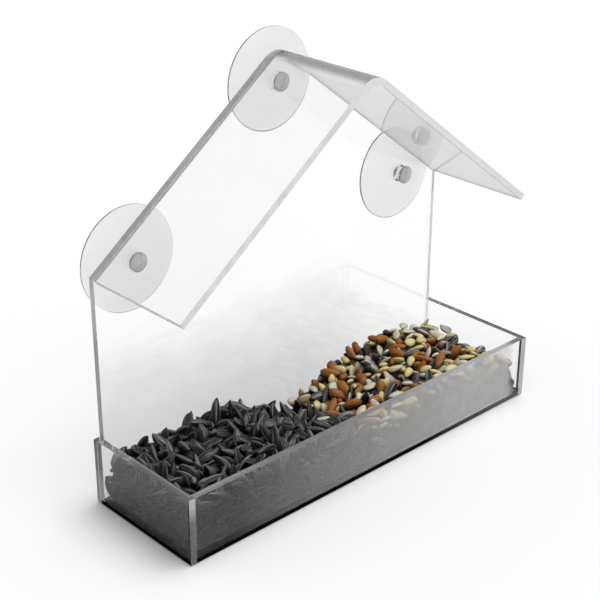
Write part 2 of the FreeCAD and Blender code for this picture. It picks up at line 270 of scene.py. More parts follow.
def fillet(points, radius, steps=5, support=0.3):
    """Closed outline with its corners rounded: points are (u, v) or (u, v, own radius)."""
    out = []
    count = len(points)
    for i in range(count):
        p = Vector(points[i][:2])
        r = points[i][2] if len(points[i]) > 2 else radius
        if r <= 0.0:
            out.append(tuple(p))
            continue
        a = (Vector(points[i - 1][:2]) - p).normalized()
        b = (Vector(points[(i + 1) % count][:2]) - p).normalized()
        half = a.angle(b) / 2
        run = r / math.tan(half)
        centre = p + (a + b).normalized() * (r / math.sin(half))
        start, end = p + a * run - centre, p + b * run - centre
        turn = start.angle_signed(end)
        n = max(2, int(round(steps * abs(turn) / (math.pi / 2))))
        out.append(tuple(p + a * (run + support)))
        for k in range(n + 1):
            ang = -turn * k / n
            c, s = math.cos(ang), math.sin(ang)
            out.append((centre.x + start.x * c - start.y * s, centre.y + start.x * s + start.y * c))
        out.append(tuple(p + b * (run + support)))
    return out


def shrink(loop, d):
    """Moves a closed loop to its left by d."""
    out = []
    n = len(loop)
    for i in range(n):
        p, q, r = Vector(loop[i - 1]), Vector(loop[i]), Vector(loop[(i + 1) % n])
        e, f = (q - p).normalized(), (r - q).normalized()
        m = Vector((-e.y - f.y, e.x + f.x))
        m.normalize()
        k = max(0.3, m.dot(Vector((-e.y, e.x))))
        out.append(tuple(q + m * (d / k)))
    return out


def cut_sheet(name, outer, holes, place, low, high, material, edges=(EDGE, EDGE), cuts=(), weld=None, cut=None, frost=None, steps=3):
    """A flat sheet cut to an outline, with its free edges broken.

    outer runs counter-clockwise and the holes clockwise, place(u, v, w) gives the point.
    edges are the sizes of the broken edge at the low and the high face. cuts are planes that
    divide the faces, weld(centre, normal) tells which of them are joined to a neighbour and
    cut(centre, normal) how rough a face is left: 0 for polished faces, 1 for buffed edges.
    frost(centre, normal) is how matt an edge was left by the saw."""
    loops = [outer] + holes
    verts, faces, smooth = [], [], []
    profile, top = [], []
    for side, size, start, sign in ((profile, edges[0], low, 1), (top, edges[1], high, -1)):
        for k in range(steps + 1 if size > 0.0 else 1):
            a = math.pi / 2 * k / steps
            side.append((size * (1 - math.sin(a)) if size > 0.0 else 0.0, start + sign * size * (1 - math.cos(a))))
        side.append((0.0, start + sign * (size + 0.3)))
    profile += reversed(top)
    caps = ([], [])
    flat_loops = ([], [])
    for loop in loops:
        rings = []
        for d, w in profile:
            ring = shrink(loop, d) if d > 1e-6 else loop
            rings.append(range(len(verts), len(verts) + len(ring)))
            verts += [place(u, v, w) for u, v in ring]
            if len(rings) == 1:
                flat_loops[0].append(ring)
        flat_loops[1].append(ring)
        n = len(loop)
        for a, b in zip(rings, rings[1:]):
            for i in range(n):
                j = (i + 1) % n
                faces.append((a[i], a[j], b[j], b[i]))
                smooth.append(True)
        caps[0].append(list(rings[0]))
        caps[1].append(list(rings[-1]))
    for cap, flat_loop in zip(caps, flat_loops):
        flat = [i for ring in cap for i in ring]
        for tri in tessellate_polygon([[Vector((u, v, 0)) for u, v in ring] for ring in flat_loop]):
            faces.append(tuple(flat[i] for i in tri))
            smooth.append(False)
    obj = new_piece(name, verts, faces, material, "feeder", smooth)
    bm = bmesh.new()
    bm.from_mesh(obj.data)
    bmesh.ops.recalc_face_normals(bm, faces=bm.faces)
    for point, normal in cuts:
        bmesh.ops.bisect_plane(bm, geom=bm.verts[:] + bm.edges[:] + bm.faces[:], dist=1e-8,
                               plane_co=Vector(point) * MM, plane_no=Vector(normal))
    for edge in bm.edges:
        if len(edge.link_faces) == 2 and edge.calc_face_angle(0.0) > 0.7:
            edge.smooth = False
    marks = [[float(test(face.calc_center_median() / MM, face.normal)) for face in bm.faces] for test in (weld, cut, frost or (lambda p, n: 0.0))]
    bm.to_mesh(obj.data)
    bm.free()
    for name, values in zip(("weld", "cut", "frost"), marks):
        obj.data.attributes.new(name, "FLOAT", "FACE").data.foreach_set("value", values)
    return obj


def circle(x, z, r, n=40):
    return [(x + r * math.cos(-2 * math.pi * k / n), z + r * math.sin(-2 * math.pi * k / n)) for k in range(n)]


def turned(name, profile, centre, material, body, n=96):
    """Profile of (radius, position along +Y) turned about the line through centre."""
    verts, faces = [], []
    rings = []
    for r, u in profile:
        if r < 1e-6:
            rings.append([len(verts)])
            verts.append((centre[0], centre[1] + u, centre[2]))
        else:
            rings.append(list(range(len(verts), len(verts) + n)))
            for k in range(n):
                a = 2 * math.pi * k / n
                verts.append((centre[0] + r * math.cos(a), centre[1] + u, centre[2] + r * math.sin(a)))
    for a, b in zip(rings, rings[1:]):
        for i in range(n):
            j = (i + 1) % n
            if len(a) == 1:
                faces.append((a[0], b[j], b[i]))
            elif len(b) == 1:
                faces.append((a[i], a[j], b[0]))
            else:
                faces.append((a[i], a[j], b[j], b[i]))
    obj = new_piece(name, verts, faces, material, body, [True] * len(faces))
    bm = bmesh.new()
    bm.from_mesh(obj.data)
    bmesh.ops.recalc_face_normals(bm, faces=bm.faces)
    bm.to_mesh(obj.data)
    bm.free()
    return obj


# ------------------------------------------------------------------ clear sheets
acrylic = clear_sheet("clear_acrylic", 1.47, 0.0, (1.0, 1.0, 1.0), 0.95, level=0.2, matt=0.91)
acrylic_joint = clear_sheet("clear_acrylic_joint", 1.47, 0.0, (1.0, 1.0, 1.0), 0.95, matt=0.48)
acrylic_shaded_slope = clear_sheet("clear_acrylic_shaded_slope", 1.47, 0.0, (1.0, 1.0, 1.0), 0.95, shade_veil=0.95, level=0.2, matt=0.91)
acrylic_back = clear_sheet("clear_acrylic_back", 1.47, 10.0, (0.84, 0.84, 0.84), 0.95, shadow_film=0.84)
acrylic_wall = clear_sheet("clear_acrylic_wall", 1.29, 10.0, (0.60, 0.60, 0.60), 0.45, level=0.0, rubbed=True, foot=True, matt=0.65)
acrylic_front = clear_sheet("clear_acrylic_front", 1.36, 10.0, (0.60, 0.60, 0.60), 0.60, dust_and_reflection=0.45, level=0.0, foot=True, matt=0.88)
# painted shade: the base absorbs so strongly that its edge shows near black, standing in for the dark shade at the foot
# of the tray
shaded_acrylic_base = clear_sheet("acrylic_base_dark_as_shade", 1.40, 300.0, (0.02, 0.02, 0.02), 0.80)

rect = lambda u0, u1, v0, v1, r: fillet([(u0, v0, r), (u1, v0, r), (u1, v1, r), (u0, v1, r)], r, 3)
in_xy = lambda u, v, w: (u, v, w)
in_xz = lambda u, v, w: (u, w, v)
in_yz = lambda u, v, w: (w, u, v)
near = lambda a, b: abs(a - b) < 2.2 * GAP
IN_D = HALF_D - SHEET

# floor of the tray: welded to the walls
base = cut_sheet(
    "base_sheet", rect(-IN_X + GAP, IN_X - GAP, -IN_D + GAP, IN_D - GAP, 0.0), [], in_xy, 0.0, BASE,
    shaded_acrylic_base, (0.0, 0.0), weld=lambda p, n: abs(n.x) > 0.5 or n.y < -0.5, cut=lambda p, n: abs(n.z) < 0.5)
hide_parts("tray_base")


# side walls: the front wall, the floor and the back sheet are welded to their inner faces
def side_weld(p, n):
    return abs(n.x) > 0.9 and near(abs(p.x), IN_X) and (abs(p.y) > IN_D or p.z < BASE)


def side_frost(p, n):
    # painted shade: 2.0 marks the outer foot strip of the wall, which is painted dark
    if abs(n.x) > 0.3 and abs(p.x) > IN_X + 1.0 and abs(n.y) < 0.5 and p.z < BASE and p.y < IN_D:
        return 2.0
    if n.y > 0.5 and p.x > 0.0:
        return 0.0
    return 0.85 if abs(n.y) > 0.5 else 0.10 if n.z > 0.5 else 0.0


side_cuts = [((0, -IN_D, 0), (0, 1, 0)), ((0, IN_D, 0), (0, 1, 0)), ((0, 0, BASE), (0, 0, 1))]
left = cut_sheet("left_wall_sheet", rect(-HALF_D, HALF_D, 0.0, RIM, EDGE), [], in_yz, -WIDTH / 2, -IN_X - GAP,
                 acrylic_wall, (EDGE, 0.0), side_cuts, side_weld,
                 lambda p, n: (2.0 if abs(n.y) > 0.5 else 1.0) if abs(n.x) < 0.5 else 0.0,
                 side_frost)
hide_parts("tray_left_wall")
right = cut_sheet("right_wall_sheet", rect(-HALF_D, HALF_D, 0.0, RIM, EDGE), [], in_yz, IN_X + GAP, WIDTH / 2,
                  acrylic_wall, (0.0, EDGE), side_cuts, side_weld,
                  lambda p, n: (2.0 if abs(n.y) > 0.5 else 1.0) if abs(n.x) < 0.5 else 0.0,
                  side_frost)
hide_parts("tray_right_wall")

# front wall: its left end is welded to the side wall and its foot to the floor, its right end shows matt, and the outer
# face of its foot is painted dark as shade
front = cut_sheet(
    "front_wall_sheet", rect(-IN_X + GAP, IN_X - GAP, 0.0, RIM, 0.0), [], in_xz, -HALF_D, -IN_D - GAP,
    acrylic_front, (EDGE, EDGE), [((0, 0, BASE), (0, 0, 1))],
    lambda p, n: n.x < -0.9 or (n.y > 0.9 and p.z < BASE), lambda p, n: abs(n.y) < 0.5,
    lambda p, n: 0.18 if n.z > 0.5 else 1.10 if n.x > 0.9 else 2.0 if n.y < -0.3 and p.z < BASE else 0.0)
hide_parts("tray_front_wall")

# back sheet: welded to the side walls, the floor and the rear end of the roof
s, c = math.sin(SLOPE), math.cos(SLOPE)
BEND_IN = RIDGE - SHEET


def under_roof(x, z):
    """True where the roof's rear end stands against the back sheet."""
    x = abs(x)
    low = BEND_Z + math.sqrt(BEND_IN ** 2 - x * x) if x < BEND_IN * s else PEAK - SHEET / c - x * s / c
    return z > low and (IN_X - x) * c + (z - EAVE) * s > 0.0


CUPS = ((0.0, CUP_TOP), (-CUP_X, CUP_Z), (CUP_X, CUP_Z))


def panel_weld(p, n):
    if abs(n.x) > 0.9 and near(abs(p.x), IN_X):
        return (0.3 if p.x > 0.0 else 1.0) if p.z < RIM else 0.0
    if abs(n.y) < 0.1 and any((p.x - x) ** 2 + (p.z - z) ** 2 < 4.0 ** 2 for x, z in CUPS):
        return 1.0
    if abs(n.y) < 0.5 and n.x > 0.25 and n.z > 0.3 and p.z > EAVE:
        return 0.5
    return n.y < -0.9 and under_roof(p.x, p.z)


panel_cuts = [((0, 0, BASE), (0, 0, 1)), ((0, 0, RIM), (0, 0, 1))]
for side in (-1, 1):
    panel_cuts.append(((side * IN_X, 0, EAVE), (side * c, 0, -s)))
    panel_cuts.append(((0, 0, PEAK - SHEET / c), (side * s, 0, c)))
STEPS = 8
for k in range(STEPS):
    a0 = -SLOPE + 2 * SLOPE * k / STEPS
    a1 = -SLOPE + 2 * SLOPE * (k + 1) / STEPS
    mid = (a0 + a1) / 2
    panel_cuts.append(((BEND_IN * math.sin(a0), 0, BEND_Z + BEND_IN * math.cos(a0)), (math.sin(mid), 0, math.cos(mid))))
gable = fillet([(-IN_X + GAP, 0.0, 0.0), (IN_X - GAP, 0.0, 0.0), (IN_X - GAP, EAVE, EDGE), (0.0, PEAK, RIDGE),
                (-IN_X + GAP, EAVE, EDGE)], EDGE, 16)
panel = cut_sheet("back_sheet", gable,
                  [circle(x, z, HOLE) for x, z in CUPS],
                  in_xz, IN_D + GAP, HALF_D, acrylic_back, (0.0, EDGE), panel_cuts, panel_weld,
                  lambda p, n: 1.0 if abs(n.y) < 0.5 else 0.0,
                  lambda p, n: ((0.20 if n.x > 0.25 else 0.60) if n.z > 0.3 and p.z > EAVE else 0.35 if n.x > 0.9 and near(p.x, IN_X) else 0.22 if n.x < -0.9 and near(-p.x, IN_X) and p.z > RIM else 0.0) if abs(n.y) < 0.5 else 0.0)
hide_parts("back_panel")

# roof: one bent sheet, its rear end welded to the back sheet
inner_eave = (IN_X - SHEET * s, EAVE - SHEET * c)
chevron = fillet([
    (IN_X, EAVE), (0.0, PEAK, RIDGE), (-IN_X, EAVE),
    (-inner_eave[0], inner_eave[1]), (0.0, PEAK - SHEET / c, BEND_IN), inner_eave], EDGE, 16)
roof = cut_sheet("roof_sheet", chevron, [], in_xz, IN_D - ROOF_DEEP, IN_D - GAP, acrylic, (EDGE, 0.0),
                 cuts=[((0, 0, 0), (1, 0, 0))], weld=lambda p, n: n.y > 0.9 and p.x > 0.0,
                 cut=lambda p, n: 2.0 if abs(n.y) > 0.5 or abs(p.x) > IN_X - 2.0 else 1.5 if abs(p.x) < RIDGE * s else 0.5 if n.z < -0.5 and p.x > 0.0 else 0.0,
                 frost=lambda p, n: (0.60 if p.x < 0.0 else 0.0) if n.y > 0.9 else 0.95 if n.y < -0.5 else 0.0)
# painted shade: the underside of the right slope gets a grey coat tint that dims it at a shallow angle
roof.data.materials.append(acrylic_shaded_slope)
roof.data.materials.append(acrylic_joint)
for face in roof.data.polygons:
    if face.normal.y > 0.9:
        face.material_index = 2
    if face.normal.z < -0.5 and RIDGE * s * MM < face.center.x < (IN_X - 2.5) * MM:
        face.material_index = 1
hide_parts("roof")

# ------------------------------------------------------------------ suction cups
vinyl = soft_vinyl("clear_soft_vinyl")


def arc(centre, r, a0, a1, n):
    return [(centre[0] + r * math.cos(a0 + (a1 - a0) * k / n), centre[1] + r * math.sin(a0 + (a1 - a0) * k / n))
            for k in range(n + 1)]


def cup_profile():
    head_r, foot_r, flank, side, dome = 4.1, 3.7, 0.5, 0.7, 1.0
    stem, play, neck_r, neck = 3.0, 0.1, 3.9, 1.2
    rim_r, land, lip, reach, hollow, back = 22.2, 1.2, 0.8, 5.0, 2.4, 45.0
    foot = -(SHEET + play)
    edge = foot - flank - side
    top = edge - dome
    rad = (head_r ** 2 + dome ** 2) / (2 * dome)
    out = [(0.0, top)]
    # domed face with a softened shoulder
    for k in range(1, 9):
        r = (head_r - 0.25) * k / 8
        out.append((r, top + rad - math.sqrt(rad ** 2 - r ** 2)))
    out += [(head_r - 0.07, edge - 0.02), (head_r, edge + 0.18), (head_r, foot - flank - 0.12), (head_r - 0.06, foot - flank + 0.05),
            (foot_r + 0.05, foot - 0.05), (foot_r - 0.12, foot), (stem + 0.12, foot), (stem, foot + 0.12)]
    out += [(stem, play - 0.12), (stem + 0.12, play), (neck_r - 0.25, play), (neck_r - 0.05, play + 0.06), (neck_r, play + 0.25)]
    a, b = Vector((neck_r, play + neck)), Vector((rim_r, reach - lip))
    chord = (b - a).length
    mid = (a + b) / 2 + Vector((-(b - a).y, (b - a).x)) / chord * math.sqrt(back ** 2 - (chord / 2) ** 2)
    for k in range(0, 25):
        f = k / 24
        a0 = math.atan2(a.y - mid.y, a.x - mid.x)
        a1 = math.atan2(b.y - mid.y, b.x - mid.x)
        ang = a0 + (a1 - a0) * f
        out.append((mid.x + back * math.cos(ang), mid.y + back * math.sin(ang)))
    out += [(rim_r, reach - 0.30), (rim_r - 0.08, reach - 0.08), (rim_r - 0.30, reach), (rim_r - land, reach)]
    r_land = rim_r - land
    hr = (r_land ** 2 + hollow ** 2) / (2 * hollow)
    for k in range(1, 21):
        r = r_land * (1 - k / 20)
        out.append((r, reach - hollow + hr - math.sqrt(hr ** 2 - r ** 2)))
    return out


for label, x, z in (("top", 0.0, CUP_TOP), ("left", -CUP_X, CUP_Z), ("right", CUP_X, CUP_Z)):
    cup = turned("vinyl_cup_" + label, cup_profile(), (x, HALF_D, z), vinyl, "cup_" + label)
    cup.data.attributes.new("head", "FLOAT", "FACE").data.foreach_set(
        "value", [1.0 if face.center.y < IN_D * MM else 0.0 for face in cup.data.polygons])
    cup.data.attributes.new("snug", "FLOAT", "FACE").data.foreach_set(
        "value", [0.9 if IN_D - 0.2 < face.center.y / MM < HALF_D + 1.4 and math.hypot(face.center.x / MM - x, face.center.z / MM - z) < 4.05
                  else 0.0 for face in cup.data.polygons])
    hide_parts("suction_cup_" + label)

# ------------------------------------------------------------------ seed in the tray
# Each row is one grain as it came to rest when the tray was filled:
# kind, shape, place in hundredths of a millimetre, and turn as a quaternion times 1000.
SIZES = {
    (0, 0): (11.69, 4.35, 2.65),
    (0, 1): (9.81, 4.44, 2.87),
    (0, 2): (11.98, 4.54, 2.41),
    (0, 3): (10.09, 4.14, 2.62),
    (0, 4): (10.08, 3.71, 2.63),
    (0, 5): (11.1, 4.34, 2.89),
    (0, 6): (11.55, 4.42, 2.69),
    (0, 7): (10.31, 3.76, 2.8),
    (1, 0): (9.63, 4.58, 2.62),
    (1, 1): (9.67, 3.93, 3.08),
    (1, 2): (9.06, 4.32, 2.71),
    (1, 3): (9.01, 4.25, 3.05),
    (1, 4): (8.84, 4.9, 2.98),
    (1, 5): (8.98, 4.82, 2.93),
    (1, 6): (8.68, 4.11, 2.56),
    (1, 7): (9.8, 4.72, 2.97),
    (2, 0): (8.03, 4.76, 3.78),
    (2, 1): (8.31, 4.16, 3.39),
    (2, 2): (8.59, 4.3, 4.05),
    (2, 3): (7.36, 4.78, 3.98),
    (2, 4): (8.18, 4.6, 3.53),
    (2, 5): (8.04, 3.86, 3.54),
    (2, 6): (8.24, 3.86, 4.17),
    (2, 7): (7.54, 4.47, 4.13),
    (3, 0): (5.78, 3.53, 2.37),
    (3, 1): (5.3, 3.65, 2.41),
    (3, 2): (5.17, 3.82, 2.44),
    (3, 3): (5.66, 3.9, 2.6),
    (3, 4): (5.58, 3.44, 2.25),
    (3, 5): (5.9, 3.98, 2.4),
    (3, 6): (5.87, 3.88, 2.68),
    (3, 7): (5.82, 3.59, 2.79),
    (4, 0): (6.42, 4.22, 2.18),
    (4, 1): (6.43, 3.93, 2.04),
    (4, 2): (7.23, 4.5, 2.4),
    (4, 3): (7.33, 4.03, 2.06),
    (4, 4): (6.53, 4.15, 2.21),
    (4, 5): (7.25, 4.56, 2.31),
    (4, 6): (6.57, 4.62, 2.12),
    (4, 7): (6.06, 3.91, 2.14),
    (5, 0): (3.57, 3.95, 3.36),
    (5, 1): (3.89, 3.81, 3.59),
    (5, 2): (3.95, 3.48, 3.69),
    (5, 3): (3.5, 3.92, 3.22),
    (5, 4): (3.66, 3.5, 3.49),
    (5, 5): (3.55, 3.3, 3.36),
    (5, 6): (3.51, 3.93, 3.52),
    (5, 7): (3.47, 3.77, 3.63),
}
GRAINS = [
    (3,4,5446,46,338,171,-89,15,981), (2,7,5697,739,414,243,-131,347,-897), (3,2,2677,-1395,387,115,-232,667,-698),
    (4,6,8779,1891,316,31,-333,-942,-11), (3,2,5663,1606,330,19,-905,-424,-40), (0,4,-3434,648,346,29,5,0,-1000),
    (2,7,3526,1600,407,17,-713,-701,-17), (3,6,1494,1334,343,619,-25,-40,-784), (0,5,-1196,881,354,79,38,-3,996),
    (0,6,-4877,1389,341,958,-4,-22,-285), (3,2,2637,1323,342,215,-54,12,975), (4,7,1973,690,317,3,997,-72,36), (4,2,1659,1812,341,983,11,34,-182),
    (0,5,-5222,1131,435,120,58,705,697), (1,2,-6635,-1182,342,383,-26,-11,-923), (0,6,-5013,-2533,351,998,-1,14,56),
    (4,4,7953,-1580,340,7,-264,945,-193), (0,4,-2185,-2046,430,326,-340,307,-827), (4,6,3003,-1545,316,941,11,-31,337),
    (0,7,-3563,1145,345,155,-25,-4,-988), (0,6,-275,1124,639,-103,766,-540,-333), (0,0,-7816,1041,361,49,593,803,-36),
    (4,6,1663,-2076,360,798,84,-251,-542), (4,4,1855,-457,320,28,-563,-826,-19), (0,0,-8620,-2468,339,989,-3,-21,-145),
    (0,4,-4073,-1682,383,347,401,583,616), (3,1,8041,-107,329,758,28,-32,651), (0,7,-5822,1450,361,1,-103,944,-315),
    (3,4,7250,-2562,338,235,-87,22,968), (2,1,5297,-2224,374,982,3,-18,187), (0,7,-8679,-827,356,13,974,-220,59),
    (0,6,-1397,-1760,362,86,-40,-101,-990), (0,5,-2440,2314,349,4,-984,-177,-24), (2,5,5845,-1194,395,467,497,501,534),
    (0,7,-1384,2605,385,49,-13,-706,-707), (1,7,7671,2002,362,7,270,963,-2), (3,5,1126,-2616,396,681,727,-25,86), (0,0,-4878,-130,349,7,-859,511,12),
    (0,1,-7929,-1007,367,954,-148,-74,252), (4,6,8010,464,317,906,-11,-31,-423), (0,1,-4779,-1083,349,844,15,-23,535),
    (4,5,5106,2482,332,2,986,169,-13), (2,4,673,2322,417,280,-665,672,-170), (3,2,2517,2544,350,160,12,-285,945),
    (0,1,2352,-569,365,77,-444,-892,-38), (5,7,3527,-1778,387,364,-551,196,725), (0,6,-2701,-23,341,21,250,-968,6),
    (5,4,6447,2571,386,378,-917,59,114), (0,5,-2279,716,456,934,311,154,82), (0,0,-6803,-405,339,16,-655,-755,-14), (0,3,-5680,-628,338,2,997,-69,24),
    (0,4,-6615,2091,355,740,-214,-215,600), (0,1,-8761,703,349,999,1,-26,20), (0,3,-7787,2564,397,460,-879,78,-94), (0,4,-923,-650,341,13,71,-997,1),
    (0,3,-6249,-2241,341,9,569,-822,6), (0,5,-7107,-1963,350,730,17,-18,683), (1,4,3759,999,354,92,-32,-3,-995),
    (1,1,6050,-1071,675,318,817,-452,-163), (0,3,-7102,826,338,142,24,-3,990), (4,2,2883,-2621,450,117,-70,697,704),
    (0,5,-1164,1497,426,234,-352,881,-211), (0,0,-8635,51,351,484,-48,-26,-874), (0,6,-4521,816,341,1,997,-78,22),
    (5,6,6925,1927,390,467,384,500,-621), (3,2,280,-1303,330,30,745,-665,33), (0,2,-9166,1924,375,235,-933,273,-13),
    (0,7,3493,393,379,18,-183,-931,315), (0,7,-6942,452,377,930,353,-43,-95), (0,7,-8394,-1315,614,359,-314,349,807),
    (2,2,4472,-439,342,999,-1,-28,-46), (2,4,5287,-1390,426,707,-706,-37,-15), (0,6,-3189,-588,401,200,36,-410,-889),
    (0,0,-1945,1255,339,8,-928,-372,-20), (2,1,6491,90,375,999,0,-16,-40), (0,4,-5273,-1299,338,852,-13,-21,-523),
    (0,1,-9300,-204,349,26,-341,-940,-9), (4,0,6249,-2382,392,871,-12,-22,-491), (0,4,-3681,-1663,354,39,402,915,-17),
    (0,1,-8367,-1697,349,875,13,-24,483), (0,0,-3831,2122,350,231,43,77,969), (4,6,3040,685,535,140,-263,-187,-936),
    (0,6,-2601,-2274,391,217,402,-867,-199), (4,4,6765,769,340,970,-168,-73,159), (4,1,3657,-1437,313,307,31,-10,951),
    (4,0,-477,-898,322,96,-17,-2,-995), (0,3,-6391,613,370,920,0,91,-382), (0,2,-4504,2131,350,51,452,890,-26), (0,2,-158,-1698,362,974,111,25,-195),
    (3,1,1611,-783,341,16,498,858,127), (0,4,-4576,1648,357,296,-931,190,-101), (0,6,-1701,-1279,361,219,-51,12,974),
    (0,5,-1118,1917,375,181,38,-286,-940), (0,3,-5305,-1870,360,917,-39,-93,-385), (0,0,-5856,-154,408,915,-39,-140,-378),
    (0,2,-808,1347,354,217,960,164,63), (0,3,-6062,-1162,347,38,-722,-690,-39), (0,7,-9507,1452,362,669,-242,201,-673),
    (3,3,9545,1865,408,552,687,-298,-366), (0,6,-7674,-1700,939,688,-660,299,-46), (3,2,7326,-1565,330,1,999,-19,44),
    (4,0,2239,1,319,10,-953,-302,-33), (4,0,6614,1689,335,120,-73,9,990), (0,5,-6732,-2257,350,10,-902,-431,-22), (0,2,-1489,-2208,352,83,29,-996,2),
    (0,4,-9325,-738,398,387,51,174,-904), (4,7,9576,-2529,515,676,55,-721,-138), (0,0,-3987,-996,339,21,114,-993,2),
    (0,3,-7431,1527,339,22,638,-769,18), (4,1,1454,-2282,496,151,863,-96,473), (4,2,6889,-2103,344,394,-54,23,917),
    (1,0,4109,628,365,43,12,-964,-262), (0,0,-870,389,395,169,-464,860,-127), (0,1,-5345,-204,349,12,910,-414,25), (0,4,-3624,-194,338,989,4,-24,146),
    (1,5,4637,-1784,351,29,326,-945,10), (0,3,-3718,2547,363,996,16,77,-52), (4,2,3973,-1383,420,976,-54,212,9), (1,6,3234,-972,354,49,620,782,-39),
    (0,3,-2188,-2555,406,113,46,-880,-459), (3,6,5550,2119,341,673,33,-30,738), (4,1,9185,1436,327,961,111,-69,-245), (0,0,5,-623,359,41,592,804,-30),
    (3,6,6388,478,341,195,42,-8,980), (2,5,3032,1074,381,980,4,-19,198), (0,4,-7504,-449,339,871,-11,-20,-490), (4,5,3104,1129,776,220,-275,-737,576),
    (2,2,5020,401,342,1,-999,-39,-28), (3,5,8185,2461,338,509,85,-51,855), (0,1,-6993,-198,627,147,-542,-796,227),
    (0,4,-2765,1568,356,80,-82,-7,-993), (0,5,-5400,880,448,200,47,705,679), (2,6,1164,971,560,42,-488,-198,849), (4,0,8350,-666,329,956,-9,32,291),
    (4,7,7191,1686,318,412,-29,-13,-910), (0,7,-2939,-1347,387,601,-134,292,-732), (3,1,6040,1832,381,692,-706,44,-146),
    (0,4,-6506,1146,354,44,-22,-181,-982), (4,3,3311,-2464,357,980,-7,-33,-197), (3,2,5145,-1056,346,989,-11,91,118),
    (0,1,-7994,-281,372,449,90,140,878), (3,6,4560,2149,341,16,-691,-723,-15), (0,5,6941,-809,594,8,17,308,951), (4,5,8096,-1125,353,71,974,-202,-77),
    (3,3,3803,-541,337,709,30,-31,704), (3,7,96,2174,360,163,-605,722,-291), (4,7,2276,1690,317,454,-32,-16,-890),
    (4,1,5267,-2592,393,707,705,-13,56), (0,5,-7074,-1031,398,71,814,541,200), (4,2,2763,427,370,450,-54,225,-862),
    (0,3,-7518,-2122,338,807,-14,-20,-590), (0,7,-8339,-587,388,100,-87,-862,489), (0,5,-4351,-1601,657,727,15,53,-685),
    (0,6,-4749,2529,530,25,-994,25,-101), (0,5,-8239,2133,360,3,-977,214,14), (0,0,-7616,-568,665,28,147,-205,967),
    (0,0,-7645,1078,602,115,-310,-933,145), (4,0,3690,-2202,319,997,-2,-35,-62), (0,5,-3701,1687,416,602,-746,187,-215),
    (0,1,-3014,881,515,32,-591,-797,120), (4,7,2014,-2538,417,210,-246,-581,747), (4,0,8323,-2374,338,24,325,-945,8),
    (0,0,-2468,-536,339,17,596,-803,13), (0,1,-9187,-2085,371,4,37,255,966), (3,0,2849,-5,362,917,216,42,333), (3,6,4662,702,446,138,929,84,-332),
    (4,6,6480,-401,316,958,9,-31,285), (0,0,-5895,748,385,160,143,253,944), (3,3,8234,751,358,300,909,-289,-29), (0,3,-9397,559,386,745,71,85,-657),
    (0,6,-2578,2338,605,937,9,-69,341), (2,5,4217,946,566,118,145,-615,766), (0,2,-5551,2335,329,19,-55,-998,-1), (0,0,-2813,409,383,268,962,15,-45),
    (0,1,-4884,488,362,977,96,-50,-184), (3,2,592,1804,531,302,-179,-770,-533), (0,1,-4467,-1694,372,875,36,67,-477),
    (3,5,504,90,339,94,774,-625,-20), (0,3,-4484,-983,589,100,397,-892,-194), (0,6,-3179,-2166,593,907,-213,-361,38),
    (0,4,4256,-91,356,56,85,-958,-269), (0,7,-1573,2248,433,909,305,-249,-138), (0,1,-8634,-206,644,101,959,-155,-217),
    (4,7,2273,-1386,324,613,3,-69,-787), (0,3,-7096,2579,532,649,-708,117,253), (3,1,1449,33,329,42,202,-978,9),
    (3,0,6932,-1680,349,142,-258,-913,282), (4,2,2712,-1114,425,2,-26,-519,-854), (0,2,-231,-2127,373,986,119,-107,-46),
    (4,5,4415,-2416,357,3,-322,-947,-1), (3,6,5092,960,336,2,997,-73,28), (0,6,138,262,368,46,770,634,-56), (0,7,-1087,-311,434,954,229,-191,12),
    (0,7,-7265,-48,425,392,-177,-55,-901), (4,7,1175,1717,351,93,-163,-950,-250), (1,1,4842,1595,373,656,-253,207,-681),
    (4,3,6928,-2042,663,265,673,-664,-189), (0,3,-5774,-1874,362,424,99,-47,899), (4,0,4688,-838,319,999,0,-35,4), (0,0,-3830,932,584,313,-949,45,19),
    (0,3,-6388,1790,528,347,-573,740,-56), (3,2,8021,2144,395,277,322,630,651), (0,3,-5086,-1252,613,17,859,-465,-212),
    (0,0,-3918,-2538,365,994,5,-97,48), (0,4,-8268,1723,375,937,-264,-39,-223), (0,7,-5222,2535,666,100,193,-322,-921),
    (0,7,-4271,-253,357,80,870,481,77), (4,7,2068,-879,403,109,110,-797,584), (4,3,2579,-2027,314,984,-5,-28,-174),
    (0,5,-8676,1192,609,906,34,88,-413), (0,0,-3224,-2387,956,180,521,-191,-812), (0,0,-4272,1928,603,628,-79,38,-773),
    (0,7,-2861,485,776,24,-220,-975,-10), (3,0,8982,-1160,327,291,36,-11,956), (0,4,-6331,-1477,479,720,25,-44,-692),
    (0,6,-4801,-614,560,32,321,-945,-56), (0,0,-6408,-251,351,80,-714,-694,44), (0,4,-2800,-1886,362,511,-91,-55,-853),
    (4,5,3329,-142,324,14,-901,-433,-29), (4,1,5789,-2424,616,72,662,-494,558), (0,6,-3473,186,413,704,-707,1,-66),
    (0,5,-1537,183,393,151,931,-323,75), (0,7,-5862,1767,367,946,-301,-78,88), (3,4,5234,-518,379,471,-119,-65,-872),
    (3,5,7488,730,346,151,-730,-662,73), (0,5,-2433,1950,424,53,-137,466,-873), (0,2,-2512,1123,329,17,477,-879,9),
    (0,7,-1443,-2576,403,921,-376,73,72), (3,5,5862,2556,330,39,78,-996,-3), (2,2,5921,255,634,438,-844,268,-157),
    (0,6,-483,1608,623,154,-176,-836,496), (2,5,4005,2562,406,51,-8,916,-399), (4,4,5810,1206,320,34,212,-977,7), (0,4,1847,2162,338,4,984,-175,24),
    (4,4,8647,-2506,432,331,-157,625,-689), (0,2,-7271,-2297,566,34,919,-387,-74), (3,3,5608,-1830,463,632,-695,330,-90),
    (2,7,6379,-987,414,267,-71,-364,890), (0,1,-1625,-905,424,624,695,-310,-177), (3,3,2406,550,357,850,264,76,449),
